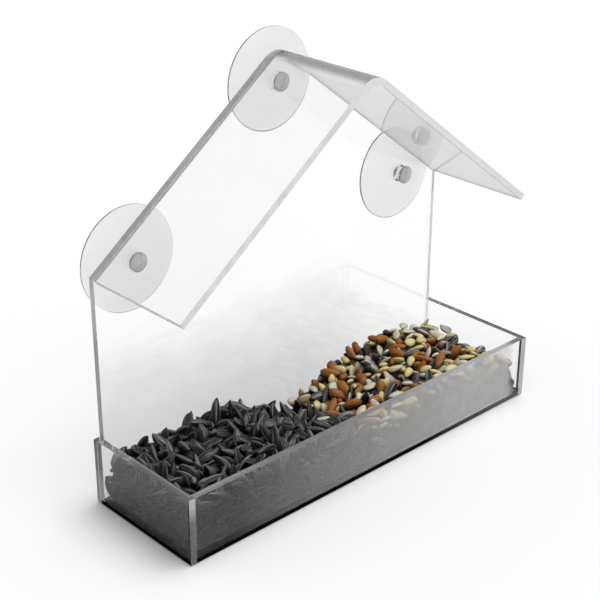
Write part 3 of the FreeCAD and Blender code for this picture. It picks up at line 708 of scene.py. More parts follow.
    (0,3,-9011,1058,338,987,4,-24,159), (2,3,2004,-1806,427,890,125,-136,-418), (0,3,-8888,-789,584,975,-29,-110,193),
    (0,0,-9116,-2510,485,119,-82,-238,961), (0,3,-3477,-1364,403,228,878,-363,-214), (0,7,-4397,731,641,277,41,297,913),
    (0,4,-2875,2554,570,47,-396,460,793), (0,5,-8123,749,490,13,705,-642,-301), (2,6,9468,-341,551,748,259,578,200),
    (0,1,-6566,-107,613,717,65,-200,-665), (5,5,7142,163,371,170,-194,680,-686), (3,5,2620,1804,380,376,-304,216,-848),
    (5,3,3459,2562,481,522,553,640,-111), (0,5,-353,-224,532,285,190,321,-883), (3,5,952,-1502,329,633,-30,-24,-773),
    (3,1,5773,-1321,778,142,-235,828,489), (5,1,430,-645,384,0,-876,-482,0), (0,1,-7939,-2395,373,287,902,-318,-56),
    (3,3,5108,687,572,947,13,-44,319), (0,7,-2066,78,388,283,-611,636,-377), (3,0,4457,1381,368,117,578,771,241),
    (2,4,8436,-1879,415,105,138,980,-101), (0,4,-566,13,397,697,-700,-102,117), (4,1,1151,2087,313,32,93,-995,3),
    (4,7,8629,1135,407,10,-919,-394,-22), (0,2,-8846,-1490,362,96,-779,602,-148), (0,6,-6109,374,538,83,-988,49,120),
    (0,2,-9283,-250,601,66,-907,-415,-8), (0,0,-8129,-922,642,88,-7,-340,-936), (0,5,-5376,597,629,613,381,166,-672),
    (2,7,4111,-886,412,4,-937,-347,-41), (0,5,-5410,-1576,563,205,225,943,-136), (2,5,6894,-2538,499,113,-310,-37,943),
    (1,2,1739,-2585,572,363,-163,795,458), (0,0,-3036,-2499,657,405,44,893,-190), (0,2,-790,-2326,389,922,-166,148,-317),
    (0,7,-6036,-495,559,20,420,904,85), (0,7,1963,-1235,401,174,-207,924,-271), (3,0,2338,2383,526,378,-744,539,117),
    (3,0,6033,-1787,360,802,-333,4,-497), (0,4,-8989,2278,361,24,-946,314,73), (0,6,-8804,-2536,752,998,-7,52,47),
    (0,1,-8329,-649,840,483,289,-826,-18), (0,1,-3618,2279,604,458,790,-208,-349), (0,5,-1843,2194,802,585,137,724,-340),
    (1,7,2891,-503,443,850,66,-39,521), (4,6,4303,260,340,40,-27,-980,-195), (0,7,-8318,1165,389,608,-98,-329,716),
    (0,4,-8643,1981,546,24,638,762,114), (0,1,-3390,-2577,1317,874,474,105,-12), (0,0,-5842,1449,722,163,355,768,508),
    (3,5,7062,-171,363,20,57,-322,945), (2,6,1147,442,419,656,232,-367,-618), (1,6,3465,-482,491,69,-781,620,21),
    (0,0,-9010,-1375,576,176,-123,941,-263), (3,3,5063,-1831,367,248,524,-778,-241), (2,0,2345,149,609,801,13,16,599),
    (4,3,2639,-1756,449,19,998,-44,41), (2,0,3950,-1831,484,247,-340,-897,-140), (1,7,-3942,-1308,598,114,782,-608,-73),
    (0,0,-6885,2282,486,213,-225,950,50), (4,6,6229,1023,318,833,12,-18,552), (5,3,4751,1012,554,336,-390,855,67),
    (0,7,-5196,-462,698,820,32,269,504), (0,1,-4228,-608,820,18,948,-234,-216), (3,7,9541,-700,387,394,539,-715,-206),
    (0,4,-8892,340,495,27,165,-974,-150), (0,0,-5759,797,710,734,394,-404,-379), (2,7,9405,-2218,422,613,634,313,352),
    (0,2,-4377,-2590,629,57,14,-649,-758), (4,3,8715,2531,439,704,701,61,91), (2,6,7047,-1246,394,705,-700,-101,59),
    (0,0,-5793,144,632,923,360,131,23), (0,5,-8840,-569,874,395,-175,-203,879), (2,3,4590,-1222,425,44,-35,-109,992),
    (0,2,-989,-1178,396,52,-879,463,98), (5,0,744,-844,373,0,765,-644,0), (3,0,6468,-1142,761,653,701,-202,-202), (3,7,4840,2521,610,30,-61,998,-15),
    (4,5,3262,-2085,458,89,381,872,-294), (0,6,-9411,-654,740,88,-587,768,241), (0,1,-6850,-1857,566,877,116,193,425),
    (4,0,7721,-1006,714,126,-989,-76,-2), (0,6,-2718,877,763,400,-66,-91,910), (0,3,-798,1390,674,21,-284,-911,-299),
    (3,1,6285,2169,349,3,-994,-104,-27), (3,2,1018,2587,473,468,-468,-640,-391), (4,3,6982,454,356,125,-80,294,-944),
    (0,0,-6067,2030,484,212,889,-372,160), (2,4,5802,-459,382,147,-344,-896,239), (0,7,-2284,1056,610,72,-49,154,984),
    (0,2,-3788,-2288,611,440,-197,-381,-789), (3,4,384,2098,415,544,477,-233,-650), (0,2,-4135,361,448,239,-258,853,-385),
    (4,5,150,1351,427,595,574,287,483), (0,0,-4061,-458,524,247,-920,226,203), (3,3,3727,2152,376,307,-943,-127,0),
    (0,7,-2348,127,576,160,-741,650,-50), (0,6,-1850,627,527,64,265,-258,927), (0,0,5985,-121,389,75,-495,-824,266),
    (3,2,2404,980,350,119,244,-939,-210), (0,0,-7759,251,395,992,48,101,51), (4,6,6788,-797,318,965,-18,-30,-259),
    (0,1,-7794,-1542,405,814,-171,-287,476), (0,5,-3995,1349,695,396,642,-651,86), (1,7,-2340,1607,554,146,-980,133,11),
    (0,6,-6801,-1286,634,7,60,265,-962), (3,2,5259,-1817,604,661,578,-176,-446), (0,3,-7392,-1567,452,304,528,785,111),
    (0,0,-5155,1439,597,2,997,-72,-17), (2,3,6943,2394,393,878,283,-204,-327), (0,0,-1628,-390,391,485,-172,-132,847),
    (4,7,2582,852,550,266,761,-579,-122), (3,1,1065,-159,352,20,371,882,292), (0,4,-4992,1868,520,154,162,-299,-928),
    (3,4,-483,429,322,469,-34,-18,-883), (0,2,-4489,61,645,142,-318,919,-182), (0,2,-5925,-1261,574,174,380,-906,-69),
    (2,3,3966,1644,554,457,336,-501,654), (0,0,-9049,1583,489,49,-241,-920,-306), (0,5,-201,-1255,421,12,987,-10,163),
    (0,1,-6233,-2516,589,132,-984,-101,61), (5,0,-157,-2555,373,0,-816,-578,0), (4,7,9042,-1990,411,611,-4,-3,-791),
    (1,2,-291,1834,344,35,-102,-994,-4), (2,1,7994,1157,410,824,235,254,448), (0,7,-4721,-2030,374,915,-76,-82,-387),
    (0,7,-3511,1255,631,774,-506,-29,-380), (3,4,8525,-1415,381,585,285,-81,-755), (3,2,2866,1673,416,446,459,-400,-656),
    (0,7,-6651,1187,713,813,489,311,59), (0,3,-1315,-2310,590,935,-84,-3,-344), (4,2,7562,2153,617,30,943,-311,117),
    (0,2,-6853,-1450,824,60,-95,960,257), (3,7,5273,-1135,644,93,-17,700,708), (0,4,-9222,-1761,449,223,949,-95,202),
    (0,2,-7653,555,617,903,-155,156,-369), (0,1,-3601,428,654,905,-239,-6,350), (3,4,1290,-1715,340,703,-153,-211,661),
    (3,0,454,495,485,963,-91,252,25), (0,2,-5603,-1266,741,591,593,437,327), (3,2,7222,1088,330,44,175,-984,8),
    (1,3,1577,-1709,558,678,-470,-466,319), (0,5,-3131,-920,471,67,-342,619,-703), (3,5,8835,-354,340,994,-5,43,102),
    (4,4,7542,-2425,383,680,661,-253,-193), (3,0,2964,-1362,617,144,258,-928,-229), (0,7,-3335,-1299,900,39,616,769,164),
    (0,7,-1207,2424,574,349,-815,390,250), (0,4,-9046,-1084,737,991,-33,-112,67), (0,2,-822,-1509,573,333,-887,319,-31),
    (4,4,6149,674,541,903,-199,-145,353), (3,4,1118,1370,391,322,365,149,861), (4,5,8939,806,459,933,-235,271,25),
    (3,7,9521,230,388,648,-455,-445,418), (4,2,3276,712,684,519,17,373,768), (0,5,-2313,-2221,1178,484,364,762,231),
    (4,3,1311,2488,412,333,222,-848,-347), (4,1,9137,-2637,391,77,31,-706,703), (0,0,-8708,-1697,779,86,-972,-43,214),
    (4,2,4786,878,847,139,956,-179,-187), (2,6,4602,-1544,640,36,79,-321,-943), (0,5,-7994,-1544,638,117,718,566,387),
    (5,4,2281,1878,571,291,666,-612,312), (0,2,-1109,453,621,94,90,-300,-945), (0,0,-5088,2205,575,929,264,-134,221), (0,3,-5199,1,721,7,95,-936,340),
    (2,1,4969,-663,794,153,870,-389,-263), (0,2,-6248,1491,904,304,-884,353,-27), (0,7,846,-1973,354,116,37,74,990),
    (3,4,2015,222,379,401,788,425,195), (0,0,-8041,554,832,249,-27,956,151), (0,6,-7195,-850,660,33,946,249,204),
    (0,0,-6123,816,714,760,-152,27,-631), (2,1,3181,-1653,604,110,-332,439,-828), (1,1,-8204,2449,520,213,66,281,933),
    (2,0,5625,2517,655,883,394,-145,208), (0,7,-25,750,503,627,481,551,269), (3,6,4945,-2487,637,452,14,-336,-826),
    (0,2,-2359,-416,680,198,152,124,-960), (0,1,-6836,-2516,780,966,-225,-69,107), (0,4,-2438,-1835,533,507,602,614,51),
    (0,1,-3936,2110,808,673,-294,-536,415), (1,3,6709,1071,427,407,815,406,65), (0,5,-5978,-2037,615,957,209,90,-180),
    (0,1,-7809,-8,644,155,723,-609,-287), (0,7,-4922,544,683,501,126,179,-838), (4,2,4730,-2097,581,791,-213,461,-341),
    (5,2,2173,-711,639,438,-873,-176,123), (3,4,2205,417,851,68,840,537,-40), (0,1,-7613,1954,478,868,1,88,488), (4,6,4040,1948,434,441,-885,-2,150),
    (0,5,134,-419,594,220,230,-929,188), (0,3,-4626,1140,747,23,-96,-78,-992), (4,1,7590,26,313,32,86,-996,3), (0,2,-9571,-110,829,667,273,-642,-263),
    (0,6,-7314,761,755,837,97,150,-517), (0,1,-9476,1481,721,751,140,-142,629), (0,7,-4097,-96,723,910,-173,294,234),
    (0,5,-5962,-241,779,145,129,210,958), (4,3,7639,-1170,337,784,-116,-39,-609), (4,2,4251,-2105,613,23,991,-96,-93),
    (4,7,2053,1124,317,35,291,-956,11), (0,0,-432,2453,377,220,-118,41,-967), (1,1,5345,1685,441,265,-384,861,-202),
    (0,5,-2029,1359,822,569,-63,-49,-819), (5,3,1639,-121,535,89,851,-357,-374), (3,5,5536,-899,354,205,-719,-647,151),
    (2,2,6622,1943,579,207,914,276,211), (4,2,7266,-610,338,270,77,-22,959), (0,1,-1822,-187,644,653,63,-39,754), (0,2,-1671,1538,552,401,845,353,25),
    (0,5,-2166,2105,790,793,-37,-48,606), (0,0,-4062,-1032,860,985,118,30,123), (2,2,3544,97,647,311,-83,-662,677),
    (0,1,-5993,2579,591,24,27,-859,-511), (1,3,4266,386,644,324,945,-12,43), (3,1,6017,-2196,671,82,632,689,-344),
    (0,1,-9442,803,720,108,-833,528,127), (0,0,-819,2260,773,-431,717,-75,-543), (0,5,-1208,-114,741,1,-293,-956,1),
    (0,3,-9524,2504,677,749,-237,617,-55), (3,7,5091,2075,360,185,949,-256,5), (0,7,-6032,-622,820,98,-2,981,166),
    (0,7,-6223,-942,650,28,-70,986,-148), (2,4,6898,212,670,590,-346,294,-667), (2,0,5038,-127,491,96,-14,961,-258),
    (0,0,-2066,-2308,697,326,857,395,59), (0,7,-540,-2256,620,302,456,-740,-391), (4,3,6020,-284,702,54,-757,629,168),
    (4,4,9482,-1594,342,522,71,-199,-826), (0,7,-4710,-506,823,31,-581,-813,18), (0,0,2938,-938,625,295,953,65,6),
    (0,1,-6992,1593,365,35,-574,818,24), (4,5,347,-2444,409,373,852,366,28), (4,5,9458,829,326,696,18,-17,718), (0,0,-9281,142,880,824,397,-368,-167),
    (0,5,-2845,1432,671,371,-926,56,-47), (0,2,-383,-992,560,75,950,299,56), (4,7,7826,-2078,381,69,-84,13,994),
    (0,0,-3328,2348,648,417,783,-188,-422), (3,2,1998,1117,553,22,-471,-880,-54), (4,3,797,909,397,319,407,584,626),
    (4,3,5368,161,571,82,68,-883,457), (0,2,-7379,-471,856,716,111,136,675), (0,5,-2668,2117,837,820,91,-1,-565), (3,7,5381,1240,493,5,-346,803,-485),
    (0,6,-8077,-1811,894,922,-267,61,-275), (0,1,-4895,265,884,93,966,-228,-78), (3,5,3799,-1509,843,42,177,-959,218),
    (3,3,3910,-2577,444,843,-364,225,326), (0,6,-4523,1442,855,308,-118,179,927), (0,5,7722,-796,440,910,-184,82,363),
    (0,1,-8238,2011,661,227,877,-410,-104), (0,4,-6768,-2123,817,948,-274,147,60), (0,3,-2268,1389,1027,223,938,122,237),
    (4,2,7776,235,488,186,460,868,-21), (2,6,7655,1504,405,39,-147,888,-434), (0,0,-1071,1093,628,792,605,-31,-80),
    (2,5,7048,1538,605,174,775,-564,-227), (0,5,-5577,2047,676,256,873,-408,75), (3,7,6454,-1399,463,344,-306,391,797),
    (0,0,-9552,-1447,723,469,551,-374,-580), (3,0,2151,-2321,452,113,511,222,823), (0,1,-3870,738,935,950,-215,216,64),
    (2,3,1395,-1163,428,76,76,-79,-991), (4,6,5724,-1648,649,874,-409,180,-191), (0,3,-2072,-1378,517,757,-109,-450,462),
    (4,2,4611,145,562,293,950,84,64), (3,0,8759,652,329,302,47,-15,952), (4,7,1915,1485,443,493,200,342,-775), (0,0,-3454,-1623,673,63,957,-209,-193),
    (2,1,1931,-294,624,118,-602,788,49), (3,1,5624,-990,799,766,486,0,-422), (2,3,169,-900,821,649,132,55,-747), (5,4,3130,1479,382,282,-43,900,-329),
    (0,3,-4973,-2374,596,943,-324,-78,-9), (3,0,1617,316,380,173,33,-897,405), (3,6,4402,1943,598,971,19,81,223),
    (0,0,-9116,-2109,671,985,94,87,-116), (0,4,-2913,-127,621,203,-712,-656,143), (3,2,5597,-2153,663,121,-490,841,-193),
    (0,2,-4745,1967,813,122,-22,-13,992), (0,5,-7652,-1101,840,13,-794,606,48), (0,1,-6969,945,583,914,-78,13,-397),
    (0,7,-3463,-421,561,950,-37,13,309), (4,5,3970,1282,497,883,-465,49,30), (3,1,1998,2565,347,951,278,-88,-106),
    (0,7,-9077,2577,633,852,-395,318,126), (3,4,3610,506,590,369,772,-490,166), (3,7,-137,263,608,295,486,-822,23),
    (0,0,-8073,-2067,605,454,-870,116,-152), (0,6,-1401,-1500,613,13,-924,380,38), (4,2,648,1463,328,8,972,-233,33),
    (0,5,-991,-719,630,900,33,-75,-428), (0,1,-5274,1317,866,4,918,396,4), (0,3,-9166,1124,719,133,-914,321,209),
    (3,0,7284,-1914,488,134,-605,104,-778), (0,7,-5653,-2404,718,918,206,141,308), (3,0,3182,-89,661,713,-26,430,553),
    (0,6,-6675,623,872,234,48,197,951), (3,7,3037,-2351,606,95,-887,248,-378), (3,0,2749,972,697,238,792,554,-97),
    (3,0,7484,2531,364,963,-261,-18,-70), (3,1,6065,2435,523,560,-722,-395,98), (3,2,6584,1421,475,146,-238,863,420),
    (0,5,-1255,-1168,852,12,-135,981,-139), (2,6,3067,2427,401,369,-857,317,-170), (0,4,-3104,2573,869,492,-194,738,420),
    (3,3,7548,-2346,707,717,-257,-130,-635), (2,0,2652,-2380,741,512,-62,-92,-852), (4,3,3438,1265,636,194,-740,-642,-55),
    (0,7,-8837,1812,701,237,-865,355,-263), (1,5,4024,2295,676,999,2,15,28), (0,5,-979,-2319,797,836,-148,275,450),
    (2,7,6513,421,662,380,-291,339,-810), (2,7,2212,-237,930,798,73,285,-526), (2,1,5266,2160,667,280,951,-107,75), (4,5,4277,733,788,964,209,56,158),
    (0,3,-141,-2506,689,392,892,223,3), (4,2,891,-1392,610,639,278,178,695), (2,6,3595,-1114,604,339,313,-735,-496),
    (0,5,-4307,383,938,630,-103,16,-770), (0,1,-6864,268,786,38,997,-60,-3), (0,0,34,1733,592,340,-3,788,-513), (0,4,-5114,832,1336,365,-379,629,571),
    (0,6,-1339,2149,852,850,307,135,407), (3,5,8156,-914,551,128,-577,-793,149), (5,6,7598,2562,698,27,-770,-614,-170),
    (0,2,-5812,2142,888,565,-41,-177,-805), (4,5,5584,-65,716,930,255,153,-217), (0,4,8390,1757,428,578,567,-535,-241),
    (4,4,426,924,351,53,270,954,-121), (0,2,-4175,2186,958,281,-688,454,-492), (3,2,574,2572,791,27,91,771,630), (0,2,-9137,-2277,913,12,259,-964,64),
    (4,5,9298,1794,461,376,-342,-578,638), (0,0,-8488,1847,847,488,-260,-645,527), (2,5,6994,-1510,662,270,93,-461,840),
    (0,6,-5018,-1202,916,308,936,-110,-128), (4,3,6596,-882,932,47,-696,-659,280), (0,4,-8342,122,655,441,-173,-444,761),
    (5,2,801,155,503,512,-737,143,-417), (3,5,7742,-322,409,193,-108,962,-162), (0,5,-9268,-1244,955,416,202,-20,887),
    (0,6,-8517,2493,818,113,29,-27,993), (0,0,-2819,-2031,1128,689,204,209,663), (0,6,-2293,2515,1029,997,-71,-9,9),
    (3,0,1372,-351,453,887,330,159,-282), (0,1,-7335,-2478,899,52,-213,-32,975), (2,0,1401,2009,598,243,967,-19,70),
    (4,0,5911,2118,559,5,137,948,287), (0,2,-3907,-1743,836,585,259,282,-715), (4,2,817,-446,359,110,-983,80,-126),
    (3,6,9428,-2266,766,326,27,-20,-945), (0,0,-2212,-885,455,403,757,429,285), (0,4,-1390,972,833,484,422,613,-460),
    (0,5,-3518,-107,729,958,-36,-58,279), (0,5,-3005,-1366,718,271,-653,-675,209), (0,5,-7249,1821,612,628,225,282,689),
    (0,1,-8738,666,725,859,-447,-230,92), (2,4,3173,1688,699,368,698,607,95), (4,2,3555,-276,761,231,-277,-917,-173),
    (1,2,-2486,-821,700,66,-112,-349,928), (4,7,2277,-1813,776,766,-557,-247,205), (4,4,2436,-2198,526,680,-114,280,-668),
    (0,7,-4958,-1932,652,489,11,-256,-834), (0,5,-1414,674,694,736,633,165,176), (0,2,-2471,241,1390,850,-359,-151,355),
    (4,1,3895,-2268,537,177,27,23,983), (0,3,-8106,-2366,689,274,-911,101,-291), (0,5,-6031,-2509,1002,55,-25,-46,-997),
    (4,0,5802,1402,524,33,-937,-313,152), (3,7,6548,-2424,637,695,-133,-70,-703), (4,3,4938,-1910,747,12,-884,406,233),
    (4,5,5261,473,716,201,-194,-930,-240), (0,6,-87,2174,567,304,733,589,150), (4,1,1587,939,403,844,493,-174,116),
    (0,6,-1456,-764,788,925,-127,-111,341), (4,5,5407,-2144,872,924,-152,-189,295), (4,3,2570,-509,611,32,435,898,-57),
    (0,7,-2147,-1506,1325,800,306,61,512), (3,6,8317,897,629,263,358,886,132), (0,0,5443,349,912,977,1,7,213), (0,3,-1675,2296,937,75,-329,909,247),
    (4,7,3246,-2018,727,971,-97,-150,158), (0,1,6173,1114,590,971,-228,-25,72), (2,7,2280,1444,648,648,99,-432,620),
    (0,1,-7841,2086,762,287,486,-821,-92), (3,2,5359,-2545,742,188,-105,-276,-937), (0,7,-8747,-2358,1117,215,30,-61,-974),
    (4,0,2994,-2158,891,15,637,769,-59), (0,6,-1173,526,801,331,777,170,-508), (2,2,1172,-2409,704,660,-366,-307,-579),
    (0,6,-8679,1260,933,131,-500,848,115), (3,2,2672,1493,606,241,-824,510,-54), (0,1,-2614,-218,847,105,-437,876,-173),
    (0,1,-247,2410,609,562,434,693,124), (3,1,8252,-319,396,97,-342,371,-858), (0,1,-4357,2405,1094,291,-283,871,-277),
    (0,1,-9456,-1562,1079,99,-803,529,256), (3,5,4596,1575,677,521,-449,-24,-725), (0,7,-1063,1972,829,-167,669,571,-446),
    (0,2,-3434,1431,874,174,250,943,-132), (0,7,-6540,-775,905,311,-707,558,-304), (5,4,414,1225,505,84,-18,-917,-389),
    (3,7,6314,-683,705,130,487,-808,307), (0,0,3254,-567,738,196,920,-339,-23), (0,7,-1652,1289,838,817,121,113,552),
    (0,3,-8406,-2154,898,116,783,-606,-83), (4,2,1135,-777,447,309,364,-547,-688), (3,0,4484,1224,675,113,776,-601,153),
    (5,2,5164,-1413,803,72,22,997,4), (4,0,4390,-2546,612,18,992,81,99), (2,3,1044,-1830,739,159,-777,557,245),
    (0,2,-3696,-2047,837,198,-969,-104,100), (2,5,3810,2569,903,201,175,678,-685), (0,6,-9259,-166,1169,508,42,-253,822),
    (3,6,1532,664,399,18,-420,-773,-475), (0,6,-8511,190,940,767,244,-47,-592), (0,4,-6229,-1918,1369,453,742,422,256),
    (0,0,-3621,1869,888,546,663,293,-421), (4,1,731,-1161,371,41,49,-919,390), (3,6,7307,1825,583,451,421,497,610), (3,0,8831,-1596,334,7,790,612,-8),
    (3,2,4265,-387,579,74,-315,921,-219), (3,7,9320,-1922,662,883,-92,35,458), (4,5,2366,-1380,632,202,-308,928,-58),
    (0,4,-2690,-1624,563,760,-4,286,584), (0,0,-4657,-2233,833,225,636,-699,235), (4,4,5001,1859,594,140,-9,115,983),
    (4,1,6865,-1120,720,563,-790,-71,-231), (3,3,4593,-690,614,94,-860,-499,57), (4,6,1595,2375,548,553,820,147,-11),
    (2,3,7453,-172,642,62,207,-838,501), (0,5,-7014,2032,755,903,-134,313,-261), (2,3,6672,2447,711,350,-110,518,-773),
    (0,3,-353,-2265,885,662,468,455,368), (3,2,881,1700,635,871,468,84,126), (3,2,6702,-271,861,78,876,-376,294),
    (0,0,-1707,-452,841,199,-880,-426,-68), (3,2,3142,1897,346,87,472,876,-47), (0,4,-3523,-665,792,978,160,36,-131),
    (0,4,-5256,-2220,969,765,-52,-319,-557), (4,0,9304,2419,360,331,68,24,-941), (0,5,-7749,1485,768,898,-369,236,-36),
    (4,7,6150,-1591,487,506,177,-843,42), (3,6,2663,1266,863,279,-340,-475,762), (4,5,5857,731,728,998,-41,-38,22),
    (3,5,8176,-2493,606,38,906,420,-47), (0,2,-6834,-1819,942,58,97,103,988), (0,6,-9092,424,847,5,304,854,423), (3,6,3954,54,833,291,-105,-56,-949),
    (0,6,-6118,2500,924,47,991,3,127), (2,6,9070,-704,434,532,-774,-185,288), (0,0,-1959,-1294,934,90,-818,-539,-181),
    (0,6,-2632,1496,1108,169,227,153,-947), (3,6,605,-1596,476,685,-31,-396,-611), (3,3,4409,39,866,398,902,144,85),
    (4,4,563,-108,588,930,244,14,-275), (3,6,7791,-512,655,967,119,-18,-223), (4,7,7491,-1477,560,124,-585,-801,9),
    (0,4,-2206,2085,1069,18,-163,-965,205), (0,4,-6655,1555,638,75,-434,860,257), (5,6,8565,-968,395,669,-400,-583,228),
    (0,3,-6759,-2090,1136,134,-952,-274,-24), (0,4,-9157,-810,1120,448,-118,-210,861), (0,2,-8905,1092,1106,897,153,-223,-349),
    (2,5,7026,2298,912,182,736,-572,-312), (4,1,8180,1437,659,39,773,-580,254), (0,4,-3424,2396,1058,904,102,-217,354),
    (0,4,-3034,-1523,1387,460,82,36,883), (4,7,5014,-1171,939,423,845,267,189), (4,5,5192,1405,693,136,80,-200,-967),
    (0,5,-8056,27,939,795,255,-185,-519), (0,0,-5212,1953,1024,710,6,-117,-694), (3,4,1876,932,975,33,119,195,-973), (2,7,7399,391,623,759,32,32,649),
    (5,2,2679,-1837,749,151,-631,-723,-238), (4,0,2910,265,612,60,153,-984,66), (5,2,6361,-203,575,620,53,767,-156),
    (3,7,2782,2217,472,503,-674,499,209), (0,4,-7291,1425,864,115,-583,-802,-60), (0,1,-5575,-1820,856,237,-825,-512,36),
    (0,7,-5862,-1327,927,648,-420,-211,599), (4,1,9585,1405,491,443,-279,839,-152), (0,4,-1656,-2369,833,331,-380,-860,81),
    (3,4,5837,-661,858,953,143,-230,-139), (4,7,1605,2633,598,706,703,28,-79), (5,0,809,552,594,122,940,-68,-311),
    (0,0,-8155,2168,1020,49,815,577,-9), (4,6,1775,296,601,318,91,208,920), (3,6,8373,2186,496,975,-120,25,-187),
    (3,4,3505,2058,624,251,-911,-110,-308), (0,0,-9082,-2215,1249,268,859,-331,282), (0,7,-6248,1777,1634,325,-510,757,-248),
    (3,3,6130,2344,780,238,247,-257,904), (0,1,-9156,-1540,1238,192,916,194,-295), (4,0,3752,1441,870,791,548,182,-204),
    (2,4,2047,1889,892,259,107,568,-774), (3,2,6562,54,941,935,266,-139,189), (0,4,-8689,-1490,1546,984,-24,-22,177),
    (1,1,8542,-1580,643,64,170,885,429), (4,0,3851,-469,782,382,-115,134,-907), (0,6,-795,1734,787,-272,804,-63,-524),
    (3,3,1615,-835,688,172,-16,869,-463), (1,5,-8078,-2338,1111,50,355,-925,-129), (0,4,-4748,-1570,863,5,117,822,-557),
    (4,0,5226,1781,805,222,-960,-167,24), (0,1,-3039,704,1325,-241,834,-223,-444), (0,7,-1825,-1786,732,792,-580,-186,29),
    (4,0,609,-2133,595,990,104,42,84), (4,5,4160,-2501,770,59,152,-80,-983), (3,1,1316,1519,554,630,-371,-505,459),
    (4,7,4130,-1252,617,634,151,-37,757), (0,5,3,-1828,783,534,400,727,-161), (0,1,-6120,2102,1154,920,-37,-46,-387),
    (0,4,-9144,856,979,775,-540,151,-291), (4,4,3302,-1156,863,103,-381,917,-55), (4,7,5829,1781,635,245,80,6,966),
    (0,3,-2438,-1359,644,44,-384,-920,62), (0,1,-2484,855,1015,160,903,-396,-38), (0,4,-6802,-179,909,336,1,52,-940),
    (4,0,2194,-2536,1019,67,-20,296,953), (1,2,6460,-1805,427,470,-252,30,-845), (0,6,-1317,210,995,478,-68,772,412),
    (3,1,5530,-2560,1048,160,-153,719,-659), (3,3,5427,-709,626,45,945,-318,-67), (0,7,1897,-1112,702,33,996,78,1),
    (0,2,-2497,1838,1113,113,-120,-308,937), (0,4,-7521,2243,873,231,-425,-683,548), (0,7,3945,424,905,200,9,303,932),
    (0,0,-1020,1350,823,434,471,765,66), (0,1,-6579,-2492,1207,93,921,-174,336), (4,3,7165,-2483,1024,2,-760,-283,585),
    (0,7,-6871,1577,902,284,483,-711,-425), (4,3,6298,-487,917,232,819,523,46), (3,3,8481,-45,770,190,-81,167,964),
    (0,2,-2404,-1744,897,87,-51,27,995), (2,7,283,-199,867,93,-366,-767,-518), (0,4,-4835,2268,1055,682,424,-458,-381),
    (3,0,4678,1886,820,63,-570,-800,175), (0,5,-5600,-2140,1126,100,536,833,88), (4,0,7428,2297,827,124,-961,212,-129),
    (0,2,-2846,1531,1155,39,-596,508,621), (3,6,3683,-2487,736,227,790,354,447), (5,3,2683,2565,637,417,-395,195,795),
    (0,6,-3227,-2034,1789,362,612,703,11), (3,0,2298,-2150,802,948,-37,-101,299), (3,3,2850,-1110,914,229,-946,-148,-176),
    (2,6,6916,-408,635,464,841,-275,43), (3,4,523,1489,610,434,862,-199,-169), (4,1,5658,-369,761,866,210,-291,349),
    (5,3,3908,-909,827,865,-13,-429,259), (1,5,5296,926,888,321,61,29,945), (0,3,-9015,1818,908,566,224,-164,-776),
    (3,7,6287,1969,696,31,-347,934,77), (4,4,-451,-633,595,691,-627,8,360), (0,2,-7609,-2619,1244,49,-67,-705,-704),
    (4,3,9223,11,526,196,-203,803,525), (4,6,9346,-1452,492,141,50,-202,-968), (0,2,-3463,-2312,1001,255,785,281,490),
    (5,2,1946,2149,642,137,-182,-687,690), (4,0,2558,322,897,767,259,209,549), (0,1,-3148,1990,780,327,-551,-721,-263),
    (2,0,6567,-1761,787,191,655,646,341), (4,4,4315,-2215,885,354,935,30,4), (3,1,392,-956,503,803,244,-491,233), (2,2,9191,421,473,109,-317,909,247),
    (5,3,7932,-1396,562,498,0,219,-839), (4,3,1770,-1980,818,740,456,63,-490), (4,0,4942,-2445,939,43,-145,146,978),
    (2,0,9214,1509,713,235,-150,708,649), (0,1,-1052,-850,1064,97,686,-721,4), (0,7,-9158,-1861,1202,811,-576,99,21),
    (2,4,8108,596,696,88,-334,-31,938), (2,6,972,1389,780,744,-620,215,-122), (4,5,4051,2056,883,31,-18,78,-996),
    (0,5,-4590,-1932,947,187,976,-84,71), (3,4,4175,-81,655,67,74,957,-274), (4,6,1327,-418,713,726,-77,144,-668), (3,6,6178,1496,687,924,255,55,279),
    (2,3,9454,-1897,1012,661,-97,231,707), (0,1,-9140,-347,1397,39,8,967,250), (3,7,2089,579,591,825,-109,78,550),
    (0,1,-1400,-1957,865,867,397,240,-179), (0,7,-9165,361,1164,153,986,-62,-21), (0,1,-894,-1813,790,309,830,-458,-82),
    (0,6,-1755,598,953,17,954,230,190), (4,2,2995,706,932,3,553,831,-54), (4,3,-414,686,538,834,245,90,486), (2,3,7029,901,674,105,891,-321,-304),
    (0,2,-2594,364,1337,-500,772,-118,-374), (4,3,8091,-1774,602,43,-75,39,996), (0,0,5137,-256,813,335,-10,-94,937),
    (1,4,1624,1357,659,627,43,-156,-762), (3,6,2498,2132,686,386,169,-188,887), (0,6,-5610,2220,1389,268,697,660,-81),
    (4,7,8913,2080,503,694,85,54,713), (3,1,7913,1700,707,730,265,-601,-191), (0,0,-8969,1807,1186,43,-998,17,-51),
    (3,2,8163,112,581,817,-149,343,-439), (0,1,-9292,-1053,1315,69,-323,-944,-19), (3,0,6630,2071,894,75,-875,476,40),
    (2,2,5787,1877,889,859,-43,60,-507), (0,3,-5315,1959,1266,108,-74,86,988), (3,2,5330,-1677,919,927,229,201,-220),
    (0,3,-243,2080,729,16,-601,680,419), (3,6,5342,2590,933,415,827,-224,306), (4,4,9563,820,686,275,-618,-485,554),
    (0,3,-3021,-148,1510,204,155,0,-967), (4,2,2650,-1450,905,16,-144,-989,-16), (2,1,3420,2137,960,62,-761,-644,38),
    (0,7,-724,-840,837,303,770,527,-191), (4,5,6573,-2486,905,15,962,271,-21), (3,3,7231,177,905,818,167,-256,-487),
    (1,5,-1156,-2077,1110,382,-924,0,0), (0,4,-9181,-592,1576,995,-7,17,-95), (0,4,-1489,1215,1155,905,166,-196,-339),
